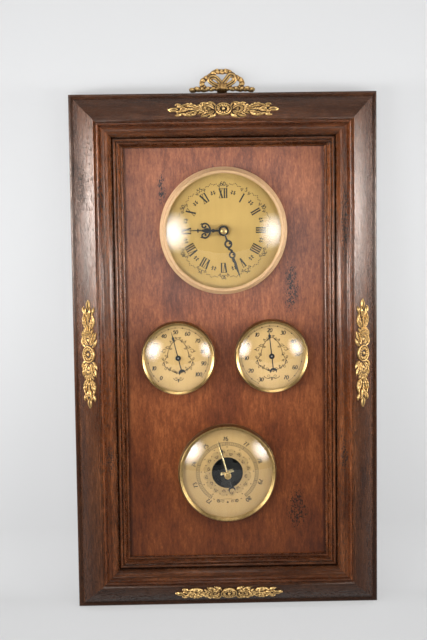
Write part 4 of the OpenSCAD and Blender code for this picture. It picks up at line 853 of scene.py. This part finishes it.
def pillow(shape, centre, radii, turn, rows=9, cols=12):
    """An egg shape with the given radii, turned in the plane by an angle."""
    verts = []
    for i in range(rows + 1):
        lat = pi * (i / rows - 0.5)
        for j in range(cols):
            lon = 2 * pi * j / cols
            x = radii[0] * cos(lat) * cos(lon)
            y = radii[1] * cos(lat) * sin(lon)
            verts.append((centre[0] + x * cos(turn) - y * sin(turn),
                centre[1] + x * sin(turn) + y * cos(turn), centre[2] + radii[2] * sin(lat)))
    shape.add(verts, ring_faces(rows + 1, cols))


def folded(shape, path, half, deep, folds, lean, fill):
    """A ribbon drawn into slanting folds along a path of (x, y, z) points."""
    path = np.array(path)
    along = np.concatenate([[0], np.cumsum(np.linalg.norm(np.diff(path, axis=0), axis=1))])
    shape.tube(path, 0.8 * half, 0.7 * deep)
    pitch = along[-1] / folds
    for k in range(folds):
        middle = (k + 0.5) * pitch
        here, ahead, behind = ([np.interp(middle + step, along, path[:, i]) for i in range(3)]
            for step in (0, 0.4, -0.4))
        turn = atan2(ahead[1] - behind[1], ahead[0] - behind[0]) + radians(lean)
        pillow(shape, here, (fill * pitch, half, deep), turn)


def ribbon(shape, path, half, deep):
    """A ribbon with a groove along its middle."""
    side = path_sides(path)
    for s in BOTH:
        edge = np.array(path)
        edge[:, :2] += side * s * 0.48 * half
        shape.tube(edge, 0.56 * half, deep)


ARCH_HALF = ((16.4, 3.6), (19.4, 7.4), (19.9, 11.2), (16.4, 14.2), (12.6, 16.2), (9.2, 19.0), (5.6, 21.2),
    (2.4, 21.1), (0, 20.9))
BOW_LEVEL = 4.0


def bow_path(side, *points):
    """A curve through (x, y, height over the bow's level) points, mirrored for the left side."""
    return smooth_path([(side * x, y, BOW_LEVEL + lift) for x, y, lift in points], 6)


def bow_shape():
    """The bow's ribbons over the frame's top edge; x from its middle, y from the edge, z from the wall."""
    shape = Shape()
    arch = [(-x, y, 0) for x, y in ARCH_HALF] + [(x, y, 0) for x, y in ARCH_HALF[-2::-1]]
    folded(shape, bow_path(1, *arch), 3.1, 2.1, 15, 32, 0.55)
    for s in BOTH:
        rise = 0 if s < 0 else 1.6
        tail = bow_path(s, (17, 3.4, 0), (21, 3.8, 0.8), (26.5, 3.6, 1.2), (31.6, 2.2, 0.4))
        folded(shape, tail, 2.7, 2.4, 3, 28 * s, 0.8)
        foot = bow_path(s, (1.5, 5.6, 0.4), (6, 4.4, 1.2), (11.5, 4.0, 1.2), (17.4, 3.9, 0.4))
        folded(shape, foot, 2.4, 2.3, 3, -25 * s, 0.75)
        loop = bow_path(s, (1.0, 9.6, 1.0), (4.2, 13.6, 1.8), (7.8, 15.8 + rise, 1.8),
            (11.6, 14.8 + rise, 1.4), (12.0, 12.0, 1.4), (8.0, 8.8, 1.4), (2.2, 5.8, 1.0))
        ribbon(shape, loop, 2.35, 1.8)
        for x in (0.8, 2.3, 3.7):
            rib = quad_path((s * x, 1.8, BOW_LEVEL + 1.0), (s * x * 1.15, 6.2, BOW_LEVEL + 3.4),
                (s * x * 0.6, 11.6, BOW_LEVEL + 1.0), 8)
            shape.tube(rib, 0.85, 1.1, 8)
    return shape


def build_bow():
    shape = bow_shape()
    # The knot's core, the base, the neck and the foot plate
    for box in ((-3, 3, 1, 9.4, 1.2, 5.4), (-5, 5, 0.06, 2.4, 0.06, 3.4), (-5, 5, -1, 3, 0.02, 1.58),
            (-12, 12, -12.98, -0.4, 0.02, 1.58)):
        block = box_shape(*box)
        shape.add(block.verts, block.faces)
    rough = add_object("bow_rough", shape.mesh("bow_rough", wall_place(0, FRAME_H / 2, 0)))
    settle(rough.modifiers.new("cast", "REMESH"), mode="VOXEL", voxel_size=0.33 * MM)
    settle(rough.modifiers.new("soften", "SMOOTH"), iterations=1, factor=0.5)
    cast = final_mesh(rough)
    mark_cavities(cast)
    add_piece("ribbon_bow", cast, "cast_gilt", ["crest_bow"], smooth=60)


# Numerals

# Control points of each digit's strokes in a cell 100 units high; the pen is broad on upright runs
DIGITS = {
    "0": [[(30, 98), (9, 76), (5, 50), (9, 24), (30, 2), (51, 24), (55, 50), (51, 76), (30, 98)]],
    "1": [[(14, 80), (26, 88), (33, 99)], [(33, 99), (33, 50), (33, 2)], [(17, 2), (33, 2), (49, 2)]],
    "2": [[(10, 74), (16, 93), (32, 99), (50, 86), (48, 64), (30, 36), (8, 4)], [(8, 4), (30, 6), (55, 3)]],
    "3": [[(10, 82), (26, 98), (46, 88), (44, 66), (24, 54)],
        [(24, 54), (50, 44), (52, 16), (30, 1), (8, 13)]],
    "4": [[(42, 99), (22, 66), (4, 32)], [(4, 32), (30, 32), (58, 32)], [(42, 99), (42, 50), (42, 2)]],
    "5": [[(50, 97), (34, 96), (17, 97)], [(17, 97), (15, 76), (12, 54)],
        [(12, 54), (32, 63), (52, 46), (50, 16), (28, 1), (7, 12)]],
    "6": [[(48, 90), (32, 98), (14, 78), (7, 42), (14, 10), (32, 1), (52, 16), (50, 44), (32, 58), (12, 46)]],
    "7": [[(8, 96), (32, 96), (56, 97)], [(56, 97), (36, 60), (26, 30), (24, 2)]],
    "8": [[(30, 99), (13, 88), (16, 66), (42, 42), (54, 20), (30, 1), (7, 20), (18, 42), (44, 66), (47, 88),
        (30, 99)]],
    "9": [[(48, 54), (30, 42), (10, 56), (10, 84), (30, 99), (48, 90), (54, 58), (46, 22), (28, 2),
        (12, 10)]],
    "-": [[(4, 42), (20, 42), (36, 42)]]}
DIGIT_STEP = {"1": 0.5, "-": 0.48}
FULL_STEP = 0.66


def turned(centre, x, y, angle):
    """A place beside a centre, turned clockwise round it."""
    a = radians(angle)
    return (centre[0] + x * cos(a) + y * sin(a), centre[1] - x * sin(a) + y * cos(a))


def write_digits(shape, text, centre, height, turn=0.0, slant=0.0, thick=0.11, thin=0.055):
    """Figures centred on a place; turn is clockwise in degrees and slant leans them over."""
    steps = [height * DIGIT_STEP.get(c, FULL_STEP) for c in text]
    pen = -sum(steps) / 2
    for c, step in zip(text, steps):
        for stroke in DIGITS[c]:
            path = smooth_path([(x / 100, y / 100) for x, y in stroke], 5)
            upright = np.abs(path_sides(path)[:, 0]) ** 1.5
            placed = []
            for p in path:
                y = height * (p[1] - 0.5)
                placed.append(turned(centre, pen + height * p[0] + slant * y, y, turn))
            shape.stroke(placed, (thin + (thick - thin) * upright) * height)
        pen += step


def roman_strokes(text, height):
    """Strokes of a Roman numeral round its centre as (path, half-width)."""
    cell = {"I": 2.2, "V": 4.7, "X": 4.9}
    width = sum(cell[c] for c in text)
    out = []
    x = -width / 2
    h = height / 2
    for c in text:
        w = cell[c]
        mid = x + w / 2
        if c == "I":
            out.append(([(mid, -h), (mid, h)], 0.7))
        elif c == "V":
            out.append(([(x + 0.95, h), (mid + 0.1, -h)], 0.82))
            out.append(([(x + w - 0.8, h), (mid + 0.25, -h)], 0.28))
        else:
            out.append(([(x + 0.95, h), (x + w - 0.95, -h)], 0.82))
            out.append(([(x + w - 0.8, h), (x + 0.8, -h)], 0.28))
        x += w
    for y in (-h + 0.16, h - 0.16):
        start = 0.25 - width / 2 + (1.7 if y < 0 and text[0] == "V" else 0)
        stop = width / 2 - 0.25 - (1.7 if y < 0 and text[-1] == "V" else 0)
        if stop - start > 1:
            out.append(([(start, y), (stop, y)], 0.2))
    return out


# Prints on the dials

def add_print(name, shape, material):
    """A print on the dial that its name starts with."""
    mesh = shape.mesh(name, AT[name.split("_")[0]], closed=False)
    add_piece(name, mesh, "dial_sheet", smooth=0, material=material)


def radial_tick(shape, r0, r1, angle, half):
    shape.stroke([polar(r0, angle), polar(r1, angle)], half)


def ring_line(shape, r, a0, a1, half, z=PRINT_Z, steps=120):
    shape.stroke([polar(r, a) for a in np.linspace(a0, a1, steps)], half, z)


def leaf_print(shape, centre, angle, length, half):
    """A small pointed leaf from a place outwards."""
    tip = polar(length, angle)
    path = [(centre[0] + t * tip[0], centre[1] + t * tip[1]) for t in np.linspace(0.22, 1, 7)]
    shape.stroke(path, half * np.sin(np.linspace(0.25, pi, 7)))


def spiral_print(shape, centre, r, start, way=1, turns=0.9, half=0.22):
    """A curl that winds in to a dot."""
    angles = np.linspace(0, 360 * turns, 20)
    path = [np.array(centre) + polar(r * (1 - 0.65 * a / (360 * turns)), start + way * a) for a in angles]
    shape.stroke(path, half)
    shape.disc(path[-1], 1.9 * half, n=8)


def print_clock():
    shape = Shape()
    garland = Shape()
    names = ("XII", "I", "II", "III", "IIII", "V", "VI", "VII", "VIII", "IX", "X", "XI")
    for i, text in enumerate(names):
        for path, half in roman_strokes(text, 9.8):
            shape.stroke([turned(polar(37.2, 30 * i), x, y, 30 * i) for x, y in path], half)
        write_digits(shape, str(5 * i or 60), polar(46.6, 30 * i), 4.1, 30 * i, 0.0, 0.095, 0.05)
        half_hour = 30 * i + 15
        flower = polar(38.8, half_hour)
        for k in range(4):
            leaf_print(shape, flower, half_hour + 45 + 90 * k, 2.9, 0.62)
        for k in BOTH:
            curl = flower + 1.7 * polar(1, half_hour + 90 * k)
            spiral_print(shape, curl, 0.9, half_hour + 90 * k, k, 0.6, 0.24)
        for k in np.linspace(-1, 1, 13):
            ripple = 0.8 * cos(3 * pi * k)
            garland.disc(polar(47.4 + ripple - 3.2 * k * k, half_hour + 10.2 * k), 0.54, n=8)
        for k in BOTH:
            spiral_print(garland, polar(44.9, half_hour + 9.4 * k), 1.5, half_hour + 20 * k, k, 0.8, 0.32)
    add_print("clock_print", shape, PRINT)
    add_print("clock_garland", garland, OLIVE)


def print_scale(name, first, start, per_step, loop_w, count=11):
    """Figures in tens, dots and a track line round a small dial, with its scrollwork."""
    shape = Shape()
    for i in range(count):
        angle = start + per_step * i
        write_digits(shape, str(first + 10 * i), polar(26.3, angle), 4.0, slant=0.18)
        radial_tick(shape, 30.0, 31.2, angle, 0.3)
        if i < count - 1:
            shape.disc(polar(30.5, angle + per_step / 2), 0.65)
    ring_line(shape, 30.5, start, start + per_step * (count - 1), 0.13)
    add_print(name + "_scale", shape, PRINT)
    flourish = Shape()
    scroll_cartouche(flourish, loop_w)
    add_print(name + "_flourish", flourish, OLIVE)


def both_sides(shape, points, widths):
    """A curve and its mirror image, with widths given at its points."""
    for s in BOTH:
        path = smooth_path([(s * x, y) for x, y in points])
        shape.stroke(path, widths_along(path, widths))


def widths_along(path, widths):
    return np.interp(np.linspace(0, 1, len(path)), np.linspace(0, 1, len(widths)), widths)


# Curls of the dials' cartouche: place, size, start and way round
CARTOUCHE_CURLS = ((14.0, 6.8, 2.5, 300, 1), (15.0, -6.4, 1.9, 200, 1), (11.8, 2.0, 1.5, 90, -1),
    (6.8, 15.8, 1.6, 250, 1), (10.4, 10.6, 1.8, 300, 1), (8.4, -11.2, 1.8, 180, -1),
    (4.4, -13.2, 1.6, 90, -1), (3.6, 17.6, 1.4, 20, 1), (12.2, -10.4, 1.6, 160, -1), (1.6, 20.0, 1.2, 270, 1),
    (15.4, -1.0, 1.4, 60, -1), (7.6, 9.4, 1.2, 120, -1), (11.6, -4.6, 1.3, 240, 1), (1.8, -14.4, 1.3, 30, 1))


def scroll_cartouche(shape, loop_w):
    """Scrollwork in a bell shape round the middle and a small flourish beneath it."""
    both_sides(shape, [(0, 18.8), (2.6, 18.0), (5.4, 15.2), (7.8, 12.2), (9.4, 8.4), (10.4, 5.0),
        (10.6, 1.6)], [0.2, 0.4, 0.2, 0.45, 0.2, 0.4, 0.2])
    both_sides(shape, [(10.6, 1.6), (12.6, -0.6), (13.9, -3.8), (13.6, -7.4), (11.0, -10.2)],
        [0.2, 0.4, 0.2, 0.4, 0.2])
    both_sides(shape, [(11.0, -10.2), (8.0, -12.2), (4.4, -14.2), (0, -15.6)], [0.2, 0.45, 0.2, 0.4, 0.2])
    for x, y, r, start, way in CARTOUCHE_CURLS:
        for s in BOTH:
            spiral_print(shape, (s * x, y), r, s * start, s * way, 0.9, 0.26)
            leaf_print(shape, (s * x, y), s * (start + 150), 1.6 * r, 0.5)
    w = loop_w / 2
    both_sides(shape, [(0, -21.2), (0.4 * w, -22.6), (0.8 * w, -21.8), (w, -20.2)], [0.2, 0.4, 0.25, 0.4])
    for s in BOTH:
        spiral_print(shape, (s * 0.45 * w, -20.4), 0.24 * w, s * 200, s)
    leaf_print(shape, (0, -20.4), 180, 4.6, 0.8)


def print_baro():
    shape = Shape()
    start = -147.0
    per_unit = 36.2
    stop = start + 8 * per_unit
    track = (28.2, 31.5)
    arches = 16
    pitch = 22.5
    for i in range(9):
        angle = start + per_unit * i
        write_digits(shape, str(72 + i), polar(34.8, angle), 4.2, angle)
    for i in range(81):
        radial_tick(shape, *track, start + per_unit * i / 10, 0.13 if i % 10 else 0.28)
    for r in track:
        ring_line(shape, r, start, stop, 0.12)
    for i in range(11):
        radial_tick(shape, 26.0, 27.0, -146 + 29.2 * i, 0.5)
    add_print("baro_scale", shape, PRINT)
    bands = Shape()
    for inner, outer, first, last in ((15.8, 22.6, 0, 360), (*track, start, stop)):
        ring_line(bands, (inner + outer) / 2, first, last, (outer - inner) / 2, PRINT_Z - 0.03, 121)
    for i in range(arches):
        bands.disc(polar(21.6, pitch * i + 11), 3.1, PRINT_Z - 0.045, 16)
    add_print("baro_bands", bands, TAN)
    ring = Shape()
    for i in range(arches):
        middle = pitch * i + 11
        way = 1 if i % 2 else -1
        ring.stroke([polar(20.4 + 1.9 * way * cos(t), middle + 8.5 * t / pi * 1.3)
            for t in np.linspace(-pi / 2, pi / 2, 14)], 0.3)
        spiral_print(ring, polar(20.4 + 1.7 * way, middle), 2.0, middle + 90, way, 0.8, 0.26)
        leaf_print(ring, polar(21.8, middle + 11), middle + 11 + 40 * way, 2.6, 0.5)
        leaf_print(ring, polar(18.2, middle + 6), middle + 6 + 100 * way, 2.2, 0.4)
    for s in BOTH:
        spiral_print(ring, (s * 4.6, -29.2), 1.6, s * 60, s, 0.9, 0.25)
        spiral_print(ring, (s * 9.4, -28.6), 1.9, s * 260, -s, 0.9, 0.5)
        leaf_print(ring, (s * 12.4, -27.6), s * 70, 2.6, 0.5)
        ring.stroke([(s * x, -27.0 - 0.02 * x * x) for x in np.linspace(0, 9, 9)], 0.18)
    ring.disc((0, -30.4), 1.1)
    add_print("baro_ring", ring, LACE)


# Hands

class Hand(Shape):
    """A hand that lies at a level over its dial's back and is made of bars and a collar, pointing up."""

    def __init__(self, level, half_t):
        super().__init__()
        self.level = level
        self.half_t = half_t

    def bar(self, points, widths, steps=6):
        path = smooth_path([(*p, self.level) for p in points], steps)
        self.tube(path, widths_along(path, widths), self.half_t, 8)

    def stem(self, heights, widths, steps=6):
        """A straight bar up the hand's middle."""
        self.bar([(0, y) for y in heights], widths, steps)

    def collar(self, r0, r1, steps):
        low = self.level - self.half_t
        top = self.level + self.half_t
        ring = revolve([(r0, low), (r1, low), (r1, top - 0.1), (r1 - 0.1, top), (r0, top)], steps)
        self.add(ring.verts, ring.faces)

    def place(self, name, dial, angle, body, stands_for, slot="hand_black", material=None):
        mesh = self.mesh(name, AT[dial] @ Matrix.Rotation(radians(-angle), 4, "Z"))
        add_piece(name, mesh, slot, [stands_for], body, 40, material)


def build_clock_hands():
    hour = Hand(4.85, 0.25)
    hour.collar(2.1, 5.2, 40)
    hour.stem([5, 8, 10.4, 12.4, 16, 19.6, 22], [1.0, 0.9, 1.9, 1.0, 1.9, 1.5, 0.6])
    hour.stem([21, 24, 26], [0.6, 0.7, 0.8])
    for s in BOTH:
        hour.bar([(0, 12.6), (s * 1.9, 13.4), (s * 4.2, 14.4), (s * 6.4, 16.2), (s * 7.2, 18.6),
            (s * 6.2, 21.0), (s * 4.0, 21.2), (s * 2.9, 19.2), (s * 4.0, 17.6), (s * 5.0, 18.4)],
            [0.6, 0.9, 0.8, 0.9, 0.8, 0.8, 0.7, 0.9])
        hour.bar([(s * 6.4, 20.6), (s * 6.7, 21.8), (s * 6.3, 23.0)], [0.7, 0.7, 0.3], 3)
        hour.bar([(0, 13.6), (s * 1.9, 15.4), (s * 1.7, 17.8), (s * 0.4, 20.0)], [0.6, 0.65, 0.65, 0.6], 3)
        hour.bar([(0, 25.4), (s * 1.1, 25.6), (s * 2.1, 25.2)], [0.8, 0.6, 0.4], 3)
    hour.stem([25, 30, 35.6], [0.7, 0.5, 0.2])
    hour.place("hour_hand_cut", "clock", 271, "hour", "hour_hand")
    minute = Hand(6.75, 0.25)
    minute.collar(1.05, 3.6, 40)
    minute.stem([3, 7, 10.4], [0.9, 0.8, 1.3])
    for centre, size, thick in ((13.9, 3.1, 0.95), (25.5, 2.6, 0.85)):
        ring = [(size * sin(a), centre + 1.06 * size * cos(a)) for a in np.linspace(0, 2 * pi, 13)]
        minute.bar(ring, [thick, thick], 4)
        minute.bar([(-0.95 * size, centre - 1.2), (-0.5 * size, centre - 0.2), (-0.2 * size, centre + 0.5)],
            [0.5, 1.1, 0.6])
    minute.bar([(0, 17.0), (1.0, 18.4), (0.2, 19.8), (-0.9, 21.2), (0, 22.9)], [1.1, 1.3, 0.9, 1.2, 1.0])
    minute.bar([(0, 28), (0.4, 31), (-0.2, 33.6), (0.1, 37), (0, 42), (0, 49.3)],
        [1.3, 1.6, 1.25, 1.4, 1.0, 0.2])
    minute.place("minute_hand_cut", "clock", 161, "minute", "minute_hand")


def build_hand_nut():
    """A domed nut with a flange, instead of the plain cone."""
    profile = [(1.1, 7.0), (3.35, 7.0), (3.35, 7.35), (3.2, 7.5), (2.75, 7.55),
        *arc(1.1, 7.55, 1.6, 0, 90, 12, 1.35)]
    mesh = revolve(profile, 64).mesh("hand_nut_dome", AT["clock"])
    add_piece("hand_nut_dome", mesh, "turned_brass", ["hand_nut"], "minute", 30)


def build_needle(name, angle, level, length, lobe_r, tail, hub_r=2.8):
    """A pointer with a lobe and a crescent tail."""
    hand = Hand(level, 0.2)
    hand.collar(0.7, hub_r, 32)
    hand.stem([hub_r - 0.4, lobe_r - 3, lobe_r + 2], [0.5, 0.42, 0.6])
    hand.stem([lobe_r - 2.2, lobe_r - 0.6, lobe_r + 1.4, lobe_r + 3], [0.3, 1.0, 1.35, 0.45])
    hand.stem([lobe_r + 2, length - 2, length], [0.5, 0.3, 0.12])
    hand.stem([0.4 - hub_r, 2.6 - tail], [0.5, 0.55], 2)
    horn = [(3.0 * sin(a), 3.1 - tail - 2.9 + 2.9 * cos(a)) for a in np.linspace(-2.0, 2.0, 13)]
    hand.bar(horn, [0.2, 0.8, 1.15, 0.8, 0.2], 3)
    hand.place(name + "_needle_cut", name, angle, name + "_needle", name + "_pointer")


def build_needles():
    build_needle("hygro", -13.9, 3.2, 27.5, 19.5, 15.9)
    build_needle("thermo", -6.0, 3.2, 27.5, 19.5, 15.9)
    build_needle("baro", -14.5, 4.6, 34, 22.5, 18.4)
    hand = Hand(7.0, 0.2)
    hand.collar(0.4, 2.4, 32)
    hand.stem([2, 12, 20, 34.5], [0.8, 0.65, 0.55, 0.2])
    for s in BOTH:
        hand.bar([(0, 0.6), (s * 2.8, 1.3), (s * 4.9, 1.7), (s * 6.9, 0.4)], [0.8, 1.4, 1.6, 0.5])
    hand.place("set_hand_cut", "baro", -16.7, "set_hand", "baro_set_hand", "turned_brass", PALE_GOLD)


# Camera, lamps, wall and floor

def place_camera():
    data = bpy.data.cameras.new("camera")
    settle(data, lens=98.44, sensor_width=36, sensor_fit="AUTO", clip_end=20)
    scene.camera = add_object("camera", data)
    right = Vector((0.9996, -0.0267, -0.0126))
    back = right.cross(Vector((0.0158, 0.1221, 0.9924)))
    turn = Matrix((right, back.cross(right), back)).transposed().to_4x4()
    place = (-0.0558, -1.7683, 0.0231)
    scene.camera.matrix_world = Matrix.Translation(place) @ turn


def soft_lamp(name, place, target, width, height, power, edge=0.02, cone=180):
    """A softbox that is brightest in its middle and fades towards its edges."""
    data = settle(bpy.data.lights.new(name, "AREA"), shape="RECTANGLE", size=width, size_y=height,
        spread=radians(cone), energy=power, color=(0.97, 0.985, 1.0))
    m = Nodes(data)
    across = m.add("NewGeometry", {}).outputs["Parametric"]
    off = m.add("VectorMath", {0: across, 1: (0.5, 0.5, 0.0)}, operation="DISTANCE").outputs["Value"]
    glow = m.spread(off, edge, 0.5, 1.0, 0.0, interpolation_type="SMOOTHSTEP")
    m.fill(m.tree.nodes["Emission"], {"Strength": glow})
    aim = (Vector(target) - Vector(place)).to_track_quat("-Z", "Y").to_matrix().to_4x4()
    add_object(name, data).matrix_world = Matrix.Translation(place) @ aim


def build_lights():
    lamp_z = -0.17
    side_z = -0.14
    soft_lamp("key", (-0.5, -0.72, lamp_z), (0.0, 0.0, lamp_z), 0.58, 0.5, power=17)
    soft_lamp("fill", (0.54, -0.72, lamp_z), (0.0, 0.0, lamp_z), 0.5, 0.45, power=11)
    soft_lamp("left_side", (-0.98, -0.32, side_z), (-0.1, 0.0, side_z), 0.9, 0.4, power=6.6, cone=50)
    soft_lamp("right_side", (0.98, -0.32, side_z), (0.1, 0.0, side_z), 0.9, 0.4, power=5.6, cone=50)
    soft_lamp("overhead", (0.0, -0.85, 0.84), (0.0, 0.0, -0.05), 1.2, 0.35, power=22, edge=0.1)
    scene.world = bpy.data.worlds.new("studio")
    m = Nodes(scene.world)
    m.fill(m.tree.nodes["Background"], {"Color": (1, 1, 1), "Strength": 0.1})


def stage_paper(colour=(0.2, 0.2, 0.202), glow=0.485):
    """Pale paper, see-through from behind, with some light of its own where it is seen or mirrored."""
    m = new_material("sweep")
    cloud = m.noise(1.0, 2.0, stretch=(0.02, 0.02, 0.02))
    ray = m.add("LightPath", {}).outputs
    seen = m.math("MAXIMUM", ray["Is Camera Ray"], ray["Is Glossy Ray"])
    seen = m.math("MAXIMUM", seen, ray["Is Transmission Ray"])
    m.surface({"Base Color": m.blend(cloud, tuple(0.97 * c for c in colour), colour), "Roughness": 0.9,
        "Specular IOR Level": 0.1, "Emission Color": (1.0, 1.0, 1.0),
        "Emission Strength": m.times(seen, glow)})
    behind = m.add("NewGeometry", {}).outputs["Backfacing"]
    m.mix_shaders(behind, m.shader, m.add("BsdfTransparent", {}))
    return m.owner


def build_stage(gap=0.063, low=-0.486, high=0.059, bend=0.058, far=3.0):
    """A pale sweep: the wall that the bow's top leans on runs into the floor with no line between them."""
    up = Vector((0, -gap, high - low)).normalized()
    out = Vector((0, -up.z, up.y))
    corner = Vector((0, gap, low))
    corner -= up * ((corner - Vector((0, 0, low))).dot(up))
    rows = [corner + up * far]
    for a in np.radians(np.linspace(0, 90, 25)):
        rows.append(corner + up * bend * (1 - sin(a)) + out * bend * (1 - cos(a)))
    rows.append(corner + out * far)
    shape = Shape([tuple(row + Vector((x, 0, 0))) for row in rows for x in (-far, far)],
        [(2 * i, 2 * i + 2, 2 * i + 3, 2 * i + 1) for i in range(len(rows) - 1)])
    mesh = shape.mesh("sweep", Matrix.Identity(4), closed=False)
    mesh.shade_smooth()
    if mesh.polygons[0].normal.dot(out) < 0:
        mesh.flip_normals()
    mesh.materials.append(stage_paper())
    obj = add_object("sweep", mesh)


scene.view_settings.view_transform = "Standard"
place_camera()
dress_nodes()
build_frame()
build_bezels()
build_mounts()
build_bow()
print_clock()
print_scale("hygro", 0, -139.2, 26.88, 10)
print_scale("thermo", -30, -153.5, 30.0, 16)
print_baro()
build_clock_hands()
build_hand_nut()
build_needles()
build_lights()
build_stage()
